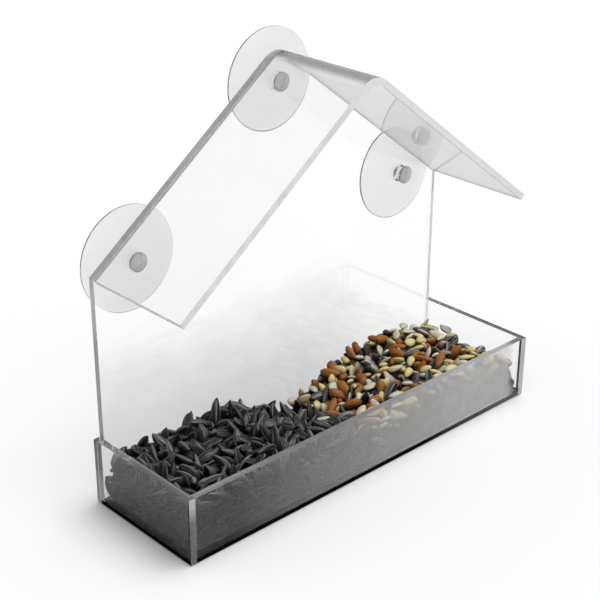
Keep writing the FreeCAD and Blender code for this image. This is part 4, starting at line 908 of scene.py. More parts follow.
    (3,4,2351,1016,687,263,847,183,424), (0,4,-2801,-2552,1292,-491,825,-273,-58), (0,4,-2169,873,1463,69,-278,947,145),
    (0,0,-2690,1895,1148,424,30,842,-332), (4,2,7504,2533,1052,14,78,-997,-21), (1,5,5761,1093,877,618,-322,-169,697),
    (4,2,1268,-1537,615,864,-64,-344,362), (0,1,-9504,-2310,1234,595,221,596,492), (0,7,-5834,-2523,1311,556,817,-142,-45),
    (4,5,2534,1015,905,328,387,810,-293), (0,1,-5691,1216,1673,885,12,-97,-454), (2,0,4356,-405,916,278,-899,314,-127),
    (5,4,4164,-1768,793,696,-189,348,-599), (3,5,7456,-1068,912,124,-121,-433,884), (3,0,3425,-2560,761,138,-491,-126,851),
    (3,1,422,-1349,702,351,-182,251,-883), (0,5,-2620,-1070,911,43,423,902,72), (0,6,-3401,1879,1389,173,839,-433,279),
    (5,2,1795,208,905,172,518,735,402), (0,7,-8555,-975,1625,528,3,-239,-815), (0,3,-745,28,702,287,798,-13,-530),
    (3,2,8971,-2364,664,881,60,-13,-468), (0,3,-6473,937,1638,269,-377,660,-591), (0,7,-343,-1262,776,881,461,-8,-101),
    (4,6,4444,-1318,824,756,-320,39,570), (2,4,7988,-240,916,503,-531,392,558), (5,1,3781,850,871,944,156,-273,-101),
    (0,0,-6948,2069,1034,382,-332,68,-860), (3,3,8390,-543,580,601,-294,189,-718), (0,0,-8149,-1933,1201,959,-248,-130,36),
    (2,4,1734,-2213,1128,320,-18,258,-911), (0,2,-4043,-2325,1060,959,-26,-92,266), (3,1,2632,-135,697,343,-436,39,-831),
    (0,4,-6741,-2327,1367,243,868,332,277), (3,5,9190,1125,483,252,218,924,185), (4,3,7725,-1412,779,5,886,428,177),
    (2,3,1954,2491,894,16,-203,-878,-432), (0,4,-1025,2580,1096,473,172,863,36), (0,3,-7012,-93,1715,79,110,60,989),
    (0,5,-29,-2173,1112,166,701,655,-227), (0,0,-2247,1004,917,259,808,188,-494), (0,0,-4343,-2321,1268,899,-202,-17,-389),
    (0,4,6715,661,882,514,48,294,805), (0,5,301,2070,797,363,735,331,-468), (0,4,-8844,-61,1370,141,237,613,740), (1,5,3792,1895,1110,353,26,40,-934),
    (0,4,-4933,-1975,1125,705,202,-125,-668), (2,1,7738,136,835,523,-266,32,-809), (0,2,-8057,-2306,1404,978,-179,-31,-102),
    (0,4,-874,-1627,1335,637,-90,-111,-758), (4,2,8034,2498,747,52,-764,-216,-605), (0,1,-2460,-2223,986,163,-628,758,68),
    (0,0,-2384,1346,1441,192,224,46,954), (2,3,1225,2366,842,653,-109,-5,-749), (4,7,8435,-2428,848,200,-713,611,-280),
    (0,5,-2213,2391,1298,37,-279,-944,-172), (0,1,-383,-1577,844,31,-17,-169,985), (4,3,9500,-2054,1393,270,-541,765,221),
    (0,4,-7629,2206,1170,187,449,811,326), (0,2,-1393,-2302,1220,278,-581,726,243), (4,3,466,-2015,826,75,-288,-955,-10),
    (0,3,-3335,174,1479,190,-963,-154,-114), (4,0,2665,-724,841,996,12,7,-93), (0,3,-4383,831,1574,228,744,-613,-132),
    (2,5,9020,1038,699,122,514,807,266), (4,6,785,-2454,394,130,-461,791,-381), (0,4,405,203,720,396,315,693,-513),
    (2,3,7554,1080,656,806,124,-31,-578), (3,0,8355,-881,760,189,-222,-880,-376), (4,2,3835,-1994,806,10,-174,-114,978),
    (3,3,5065,2327,886,278,949,-125,79), (0,6,-1788,291,1168,196,45,980,8), (0,2,-4062,-1662,1484,822,205,115,-519),
    (3,7,1755,-2523,1348,130,-58,-990,4), (4,4,3081,2575,773,859,486,158,22), (0,2,-1411,-551,1232,56,-516,-824,227),
    (3,3,4525,-931,904,986,-130,-84,-66), (0,0,-9288,-2134,1546,113,-905,-386,137), (0,0,-7147,2545,922,82,-124,-284,-947),
    (1,6,-9188,-1389,1563,59,451,-870,191), (0,0,-6621,1706,1639,237,-719,349,552), (0,7,-3872,-2264,1387,81,-247,-868,-424),
    (4,3,6172,-2086,811,36,-499,-809,308), (0,6,-3627,2330,1333,55,930,352,93), (0,1,-4411,-1008,1451,436,-601,604,289),
    (0,1,-8374,-347,1720,566,-106,-176,799), (0,4,-2576,1098,1457,440,46,841,-313), (0,0,-7473,-2207,1237,612,-642,137,-441),
    (3,3,6194,2081,950,117,419,-900,34), (3,1,4374,1222,948,164,24,983,-78), (4,5,8685,437,532,208,-850,442,-195),
    (2,2,908,-643,720,447,-590,-496,454), (3,7,1477,592,771,952,-292,-80,-53), (4,0,6562,1270,773,141,160,-950,229),
    (0,0,-9372,1396,1121,857,146,-207,-448), (0,1,-7837,-128,1462,816,-183,55,-546), (2,7,7236,-1672,928,134,-177,189,-956),
    (1,5,-560,357,755,273,387,-306,826), (0,2,-5536,1299,1926,453,81,155,874), (4,4,1044,1757,916,886,-58,218,406),
    (0,5,-4844,-567,1713,117,-990,14,82), (3,6,3383,-2165,971,62,-705,698,112), (3,0,8716,1708,540,598,-164,-288,730),
    (0,3,-468,-1997,1084,812,-412,-192,365), (4,4,9414,-1122,400,102,-307,-850,-415), (0,5,1193,266,796,319,-915,244,-25),
    (3,5,7174,-794,914,67,-261,666,-695), (1,4,1691,1619,992,261,11,941,213), (0,4,-841,1182,1225,76,598,-760,-243),
    (0,7,-5196,2392,1174,898,-150,-149,-385), (0,5,-6002,2270,1400,115,700,-635,307), (1,4,4007,-2569,1099,485,872,15,68),
    (0,7,-1847,-2588,1094,37,155,441,-883), (0,1,1367,-1065,919,120,125,493,-852), (0,5,-9251,770,1287,349,-873,230,-253),
    (0,7,-5296,537,1415,507,-328,795,63), (0,5,-2826,-926,1435,29,-78,965,250), (2,7,3656,2529,1278,38,56,-2,-998),
    (0,2,-9252,2245,838,154,-350,911,154), (0,0,-5676,2544,1596,843,484,-233,-23), (0,0,-820,-60,1021,5,-462,-590,662),
    (2,4,567,-2497,734,985,80,72,138), (4,3,4286,2508,865,428,844,318,-63), (0,1,-1768,1013,1319,794,70,-27,603), (3,5,132,1270,767,405,501,739,196),
    (0,2,-3482,1365,1566,119,922,-367,26), (2,2,1123,651,947,299,819,-154,-465), (0,1,-6590,2226,1048,424,688,-559,-187),
    (0,6,-7750,-2075,1587,18,910,-381,165), (0,4,-5203,-1213,1633,259,-373,-502,736), (4,0,8550,236,1028,84,-103,-464,876),
    (0,3,-5847,81,1787,84,-402,902,130), (3,5,4586,-2452,1130,434,-451,750,-214), (3,2,7279,-1320,858,114,-120,-840,-516),
    (0,1,-2674,597,1734,-398,908,-22,-131), (0,5,-4225,2107,1344,114,-375,906,-157), (0,1,-3605,-1820,1724,154,-269,909,277),
    (4,5,6525,1612,912,69,41,-991,-105), (3,5,8141,1971,658,390,37,-37,920), (4,4,8621,1602,789,989,-119,-44,76), (2,5,7748,-584,911,34,180,977,112),
    (0,5,-8329,2154,1309,310,949,-65,1), (0,4,-2034,196,1395,858,125,65,494), (2,5,1500,-153,917,484,-808,333,39),
    (0,6,-9481,1605,1372,735,83,126,661), (2,1,703,907,807,94,619,766,-144), (0,5,-8579,-573,1775,116,934,-41,-336),
    (3,0,3080,2192,699,68,879,368,295), (4,0,8751,-1913,778,413,-886,-202,59), (3,7,5781,2361,1061,784,-458,-20,-418),
    (4,6,9444,1115,868,437,793,338,255), (0,1,-1917,1751,1215,349,-496,733,309), (0,6,-2154,2272,1413,358,0,764,537),
    (0,0,6304,-1834,936,431,-107,47,895), (0,2,-4652,1516,1616,245,953,7,-175), (4,2,573,-635,687,422,-459,105,-775),
    (4,4,5258,-1893,1152,190,797,-559,-126), (0,2,-5943,-2309,1521,25,-87,-147,-985), (0,1,-9158,-2491,1743,132,-983,127,28),
    (0,5,-9118,-178,1710,283,-83,285,912), (3,7,8786,-227,584,248,-56,149,956), (5,5,3202,-2573,957,630,-207,-726,180),
    (1,0,1757,2192,831,326,775,-19,-540), (2,7,8622,1054,829,655,484,-407,-413), (0,6,-7917,327,1630,37,68,993,87),
    (0,0,-5044,2375,1488,163,937,297,-85), (0,1,-8056,-1689,1774,64,519,-795,-307), (0,1,-1489,1897,881,-112,750,207,-619),
    (0,4,-4224,-920,1931,0,984,-100,-148), (2,4,765,2066,818,829,79,278,479), (0,7,-9143,-1018,1639,340,919,125,154),
    (0,7,-7230,-1963,1258,856,85,-134,-492), (1,3,2307,1615,1145,913,274,-75,-292), (0,7,-5384,1477,2102,88,960,155,-215),
    (3,5,4235,1686,860,271,-899,-284,194), (0,2,-5043,-2189,1383,21,511,-859,-10), (1,0,2880,20,862,134,-768,-617,109),
    (0,5,-1485,-1601,1235,115,-547,738,-377), (0,0,-1050,-2494,1303,91,-143,124,-978), (4,4,578,-1522,880,903,-18,194,-382),
    (0,7,-9270,-730,1805,296,137,244,-913), (0,2,-2379,2383,1625,-180,925,-243,-232), (3,2,2909,1882,792,206,917,-72,335),
    (0,1,-268,1154,656,343,510,767,-187), (5,7,4953,1996,990,710,475,-514,-76), (3,3,3457,2374,1554,23,-879,-403,-253),
    (4,7,8220,-504,835,819,-283,-357,350), (0,7,-9004,1402,1405,861,-464,79,192), (0,2,-2237,-578,1493,184,-484,-850,-96),
    (0,6,-490,-1668,1243,178,768,589,-180), (0,7,-5010,1912,1586,2,961,-171,-217), (3,4,7605,-1902,650,373,846,-344,-164),
    (0,3,-5723,-2153,1683,783,-241,-61,-570), (3,1,7962,1058,884,238,-791,448,-342), (2,7,2924,-2024,1203,20,73,-661,747),
    (0,4,-444,2114,865,108,714,-303,-623), (0,3,-4909,-854,2018,45,386,918,-81), (0,6,-8145,2463,1309,3,241,827,-507),
    (0,6,-2542,1919,1433,362,-423,634,537), (0,0,-5026,437,1689,386,488,724,299), (0,0,-1363,618,1106,677,-488,550,2),
    (0,7,-8838,450,1687,104,-340,754,552), (4,7,715,-2633,1049,117,-167,-697,-687), (0,4,1534,-628,905,214,8,-123,-969),
    (0,4,-6117,965,1658,-59,876,-461,-131), (3,0,3884,2216,1335,519,837,150,88), (0,2,-4034,-1849,1790,333,8,941,53),
    (2,0,7543,1748,838,826,82,176,-529), (4,5,3703,-1948,1082,873,190,7,-449), (4,4,5939,-1996,1121,433,-148,386,-801),
    (0,7,-4875,-159,1833,447,849,224,172), (0,1,-5432,-28,1719,624,-457,634,25), (4,6,8139,-1639,830,978,179,-102,-16),
    (0,7,-6107,2279,1724,91,198,849,-481), (0,3,-3433,1584,1752,74,200,859,-466), (0,3,-7020,-2171,1539,392,-170,-5,-904),
    (4,5,2189,485,1083,40,869,493,12), (4,1,8450,262,415,189,371,343,842), (0,0,-8723,-2589,1355,-474,722,317,-391),
    (1,0,2088,1169,845,653,-66,-300,693), (0,2,-9144,-1470,1872,173,956,224,76), (0,3,-9238,-2158,1885,248,-183,-399,-863),
    (0,0,-5746,-1040,1612,785,490,-100,-365), (2,2,1928,-1483,891,500,257,-65,825), (0,6,-3088,2347,1493,942,172,57,281),
    (4,6,9007,-92,1080,103,925,-166,326), (0,2,-5738,-579,1611,205,-66,-54,975), (4,7,4842,-2117,1064,387,-914,-118,-34),
    (0,5,-8615,272,1958,-68,937,52,-339), (0,5,-8005,-967,1794,139,-208,-968,-10), (1,0,-7911,-120,1892,60,447,-511,732),
    (1,4,-1418,1768,1342,300,-563,573,515), (4,7,2532,669,1217,898,11,280,340), (3,1,-517,-369,771,566,-142,-18,812),
    (0,7,-5803,847,1937,781,614,-46,-103), (0,4,-3404,504,1623,297,155,-421,-843), (5,4,7130,1748,903,402,-433,499,633),
    (0,1,-6964,2508,1232,288,953,86,29), (0,0,-4171,1888,1676,442,-724,524,-73), (1,0,-4813,-2035,1612,96,849,-418,-307),
    (0,1,-1744,-769,1331,499,647,518,253), (0,3,-3873,-1250,1716,85,-912,-344,205), (0,6,-915,-1880,1661,208,78,33,974),
    (0,4,-3569,-1249,1709,-86,900,-227,-361), (3,4,2881,811,1287,255,399,587,657), (4,0,8976,661,867,926,-23,-374,37),
    (0,5,-315,-561,1014,114,836,535,36), (0,6,-8118,-791,2274,77,509,506,692), (2,1,6599,2561,1097,408,884,-118,192),
    (1,2,-9074,1932,1453,132,511,-843,-107), (0,7,-4108,378,1548,78,824,304,-472), (4,5,8343,-2050,976,925,110,-325,-163),
    (0,4,-9358,2325,1126,436,146,85,884), (0,6,-2524,1531,1793,224,158,-58,960), (0,7,-2616,-1088,1698,549,-825,-72,-109),
    (0,5,-8982,-1811,1684,418,312,853,-4), (0,6,-6073,-1092,1695,862,356,-361,25), (2,5,8418,2102,858,826,362,25,-432),
    (2,0,2298,-2248,1208,166,-287,-322,-887), (3,2,1425,-2107,807,575,77,814,-7), (0,4,1102,-913,1160,184,805,563,31),
    (1,2,1390,843,1060,404,59,911,51), (0,4,-1892,-139,1115,519,438,734,5), (0,1,-3636,2023,1694,168,-129,322,923),
    (0,6,-6197,2573,1766,76,-92,509,853), (4,6,6850,-2099,1045,7,494,-868,50), (0,1,-4111,-344,1806,864,-90,376,-322),
    (0,1,-4300,-2160,1951,296,-700,-639,117), (0,0,-5084,31,1903,-431,746,191,-470), (4,2,2383,2610,1064,606,626,365,-328),
    (0,3,-123,-2537,851,-44,849,-145,-506), (0,2,-5466,-1661,1365,400,-61,840,362), (2,7,3492,-2446,1239,763,545,278,207),
    (4,7,8101,-1239,917,634,221,-739,-59), (4,7,503,504,794,756,-344,-132,-541), (4,7,5031,-2309,1203,61,-39,-990,-122),
    (0,2,-6320,319,1796,598,145,136,-776), (4,4,8857,120,754,294,-946,27,-132), (4,0,4828,2624,965,185,-203,-683,-677),
    (3,7,978,2565,1086,-230,705,-177,-647), (0,7,-9048,851,1670,200,-722,371,-548), (0,1,-8252,49,2008,130,-21,783,608),
    (4,2,9482,2349,597,650,37,85,-755), (2,2,9381,-64,981,549,-672,-478,-134), (0,2,-5578,1011,2080,279,892,325,-144),
    (0,0,-1068,-1378,1407,-230,733,564,-305), (0,7,-4691,2186,1631,430,868,212,-132), (0,4,-4636,390,1668,724,117,-5,-680),
    (0,7,-1923,-1794,1439,246,-54,600,-759), (4,2,7274,-2070,1157,445,71,-80,889), (4,7,8832,-1255,635,528,155,16,835),
    (0,3,-558,963,782,436,719,406,-358), (0,0,-7766,2585,1367,191,711,235,-634), (0,6,-4530,-2001,1756,861,113,137,-477),
    (0,7,-9478,33,1855,602,-240,89,756), (0,3,-6582,1328,1690,103,-431,889,115), (0,0,-282,-1124,1139,48,-444,866,226),
    (3,7,1429,1334,962,857,398,-106,-310), (0,0,-4562,1704,1771,124,-171,-936,283), (4,0,4066,-2332,1311,436,-83,-326,-834),
    (0,5,-6816,-2067,1760,63,-197,-967,148), (0,1,-5784,-564,1863,55,-917,391,-60), (0,6,-149,432,794,168,-345,923,-26),
    (0,2,-1015,2175,1089,221,829,-304,-414), (1,6,846,96,912,605,227,60,-761), (0,2,-4084,1016,1631,540,-622,545,-155),
    (0,1,-9298,-1154,1930,932,-129,-54,334), (0,5,-8120,-2498,1682,968,-221,-91,-78), (3,4,8586,-2313,650,482,-364,107,790),
    (4,6,7277,1364,881,45,84,98,-991), (0,5,-7142,2104,1396,196,65,186,961), (0,0,-5017,-703,2257,55,241,-968,46),
    (0,6,-1161,-205,948,410,318,851,-78), (1,7,811,-1455,1420,689,-545,242,-413), (2,3,2724,302,1196,944,-185,118,246),
    (4,0,8970,-2325,985,46,285,-921,-263), (0,6,-3090,1042,1837,463,-273,702,467), (0,2,-8334,-957,2187,460,25,-561,688),
    (0,6,-7462,-142,1852,-30,-554,-569,607), (0,1,-6569,-2529,1566,16,857,-339,-388), (4,5,5054,-2574,1284,41,-98,513,-852),
    (4,2,811,-1908,982,13,518,752,408), (0,5,-4870,-310,1913,379,809,97,-440), (0,6,-407,231,1001,182,548,629,-521),
    (0,5,-4641,749,1736,649,313,661,210), (0,5,-5887,1199,2316,342,-452,824,-5), (0,4,-8745,1743,1529,295,-917,-229,144),
    (0,3,-1879,-2279,1361,502,481,-681,-229), (0,0,-2645,-1838,1696,-339,668,-463,-473), (0,7,-1499,-1296,1409,239,85,-325,-911),
    (4,7,9295,-849,892,237,-234,728,-599), (4,2,7383,-2048,872,629,774,-64,-44), (0,2,-4780,2519,1686,975,-206,-3,-82),
    (0,4,-7219,-900,1636,58,10,164,-985), (2,7,1331,-1874,1334,285,558,567,535), (3,0,6719,-2589,1463,480,848,35,-221),
    (3,0,8800,-608,657,303,202,787,-498), (4,5,7650,586,883,980,-123,44,152), (4,3,2927,2239,890,936,-85,-208,271),
    (0,4,-5855,-81,2009,137,6,86,-987), (4,1,2409,2310,1243,58,275,-932,-228), (0,2,-8977,2385,1233,180,147,-973,-9),
    (2,2,5258,1888,1178,697,599,379,106), (4,6,8437,2427,709,8,465,880,98), (0,4,-9368,-184,2395,-225,643,-559,-473),
    (3,0,2688,-2475,1198,920,-82,51,380), (0,4,-2807,2542,1876,366,-211,819,-388), (3,0,3072,-2428,1198,645,155,-579,-473),
    (1,1,-6727,2312,1531,-322,649,-443,-528), (0,0,-7083,-1386,1869,46,824,-563,32), (3,4,9253,567,818,848,-404,-192,284),
    (0,0,-3330,-347,1829,530,16,-335,779), (0,6,-6427,2270,2038,330,-336,-791,390), (0,1,-8087,-1634,2227,21,-62,744,665),
    (0,2,-3386,2352,1732,235,350,898,-125), (0,4,-9438,535,1464,430,314,684,498), (4,2,6701,-2456,1159,35,394,899,185),
    (0,2,-5660,-629,2015,218,-174,762,584), (2,6,637,-640,1071,436,-804,330,-234), (0,0,-3187,823,1829,115,981,-101,116),
    (0,3,-2458,-651,1641,-134,947,45,-287), (0,2,-8195,334,2087,-18,866,-138,-481), (0,0,-2534,-1800,1383,98,451,887,-24),
    (4,6,1198,1095,1005,131,-41,974,181), (0,0,-8666,-2082,1961,76,-435,890,114), (3,5,7902,2187,945,910,-71,175,-370),
    (4,6,4461,2190,1032,67,-841,-537,13), (0,6,-8321,2430,1641,944,256,-49,-202), (0,6,-3138,112,1544,-225,753,107,-609),
    (0,6,-9483,-801,1975,-22,494,749,-440), (0,2,-3560,-1428,1934,-56,-425,626,652), (0,4,-5284,-2250,1671,309,-330,-620,641),
    (1,2,6103,2480,1183,331,-23,-625,707), (0,5,-1047,-546,1380,305,-872,384,-7), (0,6,-1486,2395,1222,595,657,414,-205),
    (0,2,-4745,-873,2130,457,757,284,-370), (0,5,-8546,-2364,1798,870,-123,-280,-388), (0,5,-6118,-1444,1879,109,980,-148,70),
    (0,3,-4426,1300,1845,399,-887,-229,-40), (0,2,-4610,-2595,1456,492,-837,-144,-190), (1,3,363,734,997,720,-188,-90,-662),
    (5,2,1345,1938,1074,162,-640,-180,-729), (0,0,-2999,-1339,1551,247,282,908,-185), (3,3,6592,1863,1151,227,282,927,-98),
    (0,7,-5808,462,2003,421,-631,633,-159), (2,7,8063,2532,1293,53,44,432,-899), (0,4,-6458,153,2112,323,431,638,-550),
    (0,4,2618,2173,982,128,-595,790,-77), (3,5,9550,-1160,695,556,375,313,672), (0,3,-459,-533,1198,-34,816,-134,-561),
    (4,7,4937,2336,1123,128,935,324,61), (2,1,4984,-1884,1410,88,-235,-357,900), (0,5,-3641,534,1914,522,6,15,853),
    (3,5,8927,-324,874,175,556,-811,60), (0,5,-5195,1668,2210,365,695,618,41), (2,1,2366,1336,1391,62,51,203,-976),
    (0,3,-8544,-2115,2197,393,549,537,-506), (1,7,-8645,1281,1718,737,-296,-262,549), (3,0,2438,-2605,1445,91,-58,508,855),
    (0,7,-5492,2103,1809,637,243,723,116), (0,6,-4902,-2314,1938,169,-903,-394,-13), (0,6,-6119,-1128,1974,379,-188,752,-505),
    (0,6,-7636,-1042,2008,796,-370,443,-181), (4,1,6231,-2262,1087,113,736,621,246), (0,6,-8444,2235,1799,58,-488,-759,-426),
    (0,1,-4389,-1335,2078,87,827,-41,-555), (0,6,-7072,-2263,1973,723,338,91,-596), (1,1,956,-316,911,193,856,-17,-480),
    (0,7,-4940,2605,1882,432,824,-153,-332), (4,3,713,-2335,974,278,958,-52,-53), (0,3,-711,-937,1600,-376,830,50,-409),
    (4,3,7865,-2548,873,717,104,689,19), (0,0,-9242,-546,2027,622,-239,728,-160), (0,1,-1336,-817,1394,403,738,-193,-506),
    (3,3,4477,-1921,959,674,-441,-5,593), (0,3,-4065,2381,1614,468,-270,165,825), (3,0,1847,-86,1094,648,12,-347,678),
    (4,5,3409,-1958,1386,442,-146,237,-853), (0,6,-3680,-525,2042,866,-490,63,-77), (4,2,9351,407,1152,368,-47,652,-661),
    (0,1,-7943,-2164,1865,70,530,-825,183), (0,0,-3472,1198,1822,665,-35,744,-57), (0,4,-2401,80,1644,13,624,696,-355),
    (0,5,-5885,-733,2234,205,920,-137,-303), (3,0,2172,851,1086,396,-317,804,309), (0,1,-4457,316,1926,15,918,169,-359),
    (4,2,1764,1226,1181,27,-577,784,227), (0,1,-4927,-459,2379,-165,953,-78,-240), (0,6,-4387,1903,1860,424,177,756,466),
    (0,2,-6635,1567,2205,-90,389,760,-513), (0,7,-8099,-1245,2250,593,495,604,-197), (1,6,969,2208,1133,66,15,996,49),
    (0,0,20,424,1030,664,-276,694,-19), (0,0,-7079,2201,1659,87,517,851,26), (4,6,5812,1869,1170,515,-19,-264,-816),
    (0,5,-8815,-859,2159,310,-366,-865,-146), (4,7,1442,-1296,1193,75,-235,-959,138), (0,1,-3565,-2343,1593,933,-33,133,334),
    (0,2,-7524,-533,1758,117,980,-158,34), (4,1,4391,2099,1232,15,109,-984,-137), (0,0,-9244,454,1655,427,237,841,-232),
    (0,7,-7061,-1579,1962,-32,-581,451,677), (2,7,2648,625,1523,156,-903,400,-30), (0,3,-3136,-1468,2178,294,851,410,-145),
    (0,7,-1349,-2500,1680,484,88,869,56), (0,3,-9019,2546,1490,62,-49,-220,-972), (0,0,-5525,-1776,1721,213,-536,804,143),
    (2,7,9082,1840,907,113,564,571,-586), (4,5,360,1462,818,286,915,26,-284), (4,3,5447,-2636,1435,705,-701,50,91),
    (3,0,-33,-747,1156,495,-242,-241,-799), (0,2,-3843,-1023,2245,533,-233,808,-94), (0,4,-6394,-1544,2063,260,15,964,-54),
    (4,2,5449,-2316,1381,375,826,411,-93), (0,7,-5005,2,2241,254,-500,790,248), (0,4,-1198,-1351,1508,227,840,250,-425),
    (0,7,-8922,-1360,2170,773,-301,175,-530), (0,1,-9307,897,1903,296,-224,327,869), (0,7,-6722,383,2414,-59,726,-648,-221),
    (3,4,6253,2062,1202,123,316,-927,160), (0,3,-7229,-2589,2197,694,666,134,-238), (0,3,-7448,-567,2021,428,722,87,-536),
    (0,2,-6457,-781,2130,331,-680,475,-450), (0,6,-1387,-2363,1601,131,969,-206,29), (4,0,3106,1896,1134,899,7,-89,-429),
    (3,7,1877,2568,1260,49,-991,68,-108), (0,2,-6646,1198,1803,208,-380,761,483), (3,3,1724,421,1138,123,3,943,-308),
    (0,5,-9129,-326,2505,483,-309,781,247), (0,0,-4990,506,2035,295,262,912,114), (0,6,-1755,472,1479,131,835,405,-350),
    (0,6,-4864,2401,1915,-37,897,-47,-438), (4,1,6105,-2020,1388,431,-90,414,-797), (0,4,-2492,-24,2077,936,176,138,270),
    (0,4,-3599,1115,2160,96,-368,922,-76), (2,0,2327,-1284,1220,172,-84,281,-941), (0,0,-9074,-2579,2044,21,-33,-460,887),
    (5,7,2080,-942,1217,323,292,-526,731), (3,2,401,-2310,1181,278,-74,-23,958), (0,6,-7536,2284,1576,-89,882,-328,-327),
    (0,5,113,1054,1076,-142,669,-306,-662), (0,3,-7833,1588,1468,966,-223,-86,-95), (4,1,8090,-2243,735,544,-247,86,797),
    (4,3,3032,1144,1675,135,230,355,896), (0,3,-4832,1394,1880,19,-559,-537,632), (4,7,4516,-1922,1570,103,-740,-262,610),
    (1,0,1341,1634,1220,56,112,920,371), (5,2,8181,1823,938,85,338,-372,-860), (4,2,9481,-505,1022,519,-363,684,-361),
    (0,4,-5912,-355,2124,-417,843,-294,-170), (0,4,-4663,-2156,1997,372,476,726,-328), (0,5,-8880,1720,1826,555,47,-13,-830),
    (0,3,-2578,-1427,1836,434,881,180,-63), (0,7,-8691,711,2056,831,-138,-296,-450), (2,3,3340,-2394,1664,398,-376,456,-701),
    (2,2,5505,2498,1392,114,-103,-867,474), (0,0,-5592,2439,2147,530,-72,836,-123), (3,6,1549,-363,1160,213,-872,-440,-29),
    (0,6,-3911,-1753,2093,340,-512,789,-3), (0,7,-2314,-2425,1451,-36,962,-141,-233), (0,4,-7558,-1713,1784,197,781,-591,-36),
    (0,5,-3210,204,2094,990,9,71,-118), (3,6,4798,1911,1336,573,487,-612,-245), (0,7,-6286,-1940,1548,44,709,387,-589),
    (0,0,-3975,2516,1855,294,952,80,-30), (0,1,-6899,-1379,2088,492,229,759,-359), (4,4,9084,2423,671,256,-596,-760,45),
    (0,5,-3074,-325,2058,513,514,675,-129), (0,4,-8105,1720,1752,105,711,-625,-304), (4,3,3769,-2168,1469,121,795,567,-178),
    (4,4,9354,-2492,1113,389,-460,-732,-318), (4,2,-397,-228,1346,228,77,931,274), (5,1,3454,-1437,1367,435,210,-793,-371),
    (4,6,8421,1713,1344,73,974,150,-151), (0,0,-1105,-719,1542,-182,871,-111,-443), (2,2,2619,-1818,1523,126,-6,-86,-988),
    (0,1,-3816,-97,1903,311,38,791,525), (0,5,-5963,2132,2017,-272,677,-285,-622), (2,3,3353,611,1458,767,-49,342,-541),
    (0,2,-2743,-441,1771,-375,894,-173,-172), (0,1,-3995,-2162,2377,206,-284,855,382), (2,7,4361,-2272,1618,300,-807,266,-434),
    (0,4,-7127,2594,1767,118,944,233,-200), (2,5,3074,2562,1284,393,-197,828,349), (3,2,9111,1283,978,105,-126,-976,-144),
    (0,6,-4264,-2571,2050,534,544,585,-275), (0,6,-3874,1386,2362,129,803,60,-579), (0,3,-7386,-376,2174,34,602,-580,-547),
    (4,7,2638,-2311,1420,266,97,-23,959), (0,3,-9229,2178,1602,-39,739,83,-667), (0,4,-6060,51,2043,526,139,818,185),
    (0,0,-4504,1546,2049,100,-553,-514,649), (4,6,107,-300,1212,824,51,42,-562), (4,1,8373,-1200,662,422,-658,-579,-231),
    (0,6,-1419,147,1493,677,-306,663,-93), (0,0,-1688,-620,1525,594,-145,749,-255), (4,7,391,2433,1007,59,73,934,344),
    (4,2,4987,-2312,1533,35,-212,848,-485), (3,6,8547,-523,839,749,-33,-213,-627), (4,2,4337,1995,1438,140,-982,-129,-9),
    (0,4,-7660,-1957,1995,-286,943,-109,-132), (0,7,-9395,-1883,2034,248,379,891,28), (0,5,-4120,65,2359,315,698,641,56),
    (3,7,5876,652,1632,753,421,79,-500), (0,5,-7980,2046,1847,203,391,390,809), (0,4,-8210,-2550,2169,597,757,-20,-264),
    (0,2,-7387,1308,2040,91,571,803,-144), (1,2,5436,-66,1611,912,-267,72,-303), (0,5,-5078,798,2207,-169,970,-101,-141),
    (4,7,921,-2595,1320,2,290,553,781), (0,2,-5892,-2129,2010,123,-593,791,87), (0,1,-2144,-1231,1947,283,675,263,-628),
    (0,6,-7988,-1804,2426,174,328,921,-119), (2,7,1641,839,1462,117,-555,-806,-170), (0,1,-1375,-2107,1754,149,-327,928,-99),
    (0,7,-6107,-487,2307,47,865,-60,-495), (2,1,2700,1523,1679,85,311,-793,517), (0,5,1342,1397,1171,500,-52,832,-237),
    (0,5,-8743,982,2178,538,-579,577,203), (4,0,1711,-1762,1210,496,-84,348,791), (0,2,70,-2203,1213,565,311,747,161),
    (4,1,3086,1798,1390,12,-998,67,16), (2,3,6445,2241,1438,255,-14,-151,-955), (0,4,49,121,1233,95,450,796,-393),
    (0,6,-4262,2375,1893,314,796,234,-460), (0,5,-9048,-993,2314,371,268,855,246), (0,7,-6685,788,2032,525,-365,708,-301),
    (0,4,-8863,525,2391,829,-233,-61,-504), (0,6,-9448,1645,1690,816,-35,-12,-577), (0,5,-3638,608,2155,542,88,800,-244),
    (0,6,-1722,-1217,1690,53,831,183,-523), (0,0,-5493,129,1992,457,511,720,-113), (2,0,7983,-2206,1042,267,-280,258,885),
    (2,0,4819,2376,1417,270,834,-478,-58), (4,3,739,661,1109,335,-648,663,169), (0,5,-1885,-2548,1820,52,446,767,-459),
    (0,2,-3425,2067,1780,227,711,-188,-638), (0,1,-6458,-2116,1849,147,887,-65,-434), (0,4,-5850,-2250,2244,141,-22,-977,-157),
    (0,0,-1988,-1517,2179,138,961,38,-238), (4,3,547,1546,1017,-7,836,468,-286), (2,1,416,-272,1298,515,-730,449,-20),
    (4,3,3123,1376,1425,81,112,-981,-136), (4,2,2967,2173,1305,71,-100,978,-166), (2,3,4496,586,1473,47,150,987,20),
    (0,1,-5991,-1593,2227,219,39,810,-543), (0,1,-8058,1049,2302,290,737,528,-307), (0,7,-6958,-1020,2127,-147,981,-64,-110),
    (0,1,-5181,-2034,1957,331,-216,883,-256), (0,6,-1650,-1732,1710,285,908,272,-145), (4,0,6889,2191,1378,820,-197,-316,435),
    (0,2,-2311,-411,1935,240,766,578,-149), (0,5,-6040,472,2261,307,-201,-28,930), (5,4,1339,468,1384,869,471,113,-96),
    (4,2,8684,507,878,106,358,143,-917), (0,3,-8130,-1988,2133,376,847,-176,-332), (0,2,-7109,1033,2299,10,186,-968,169),
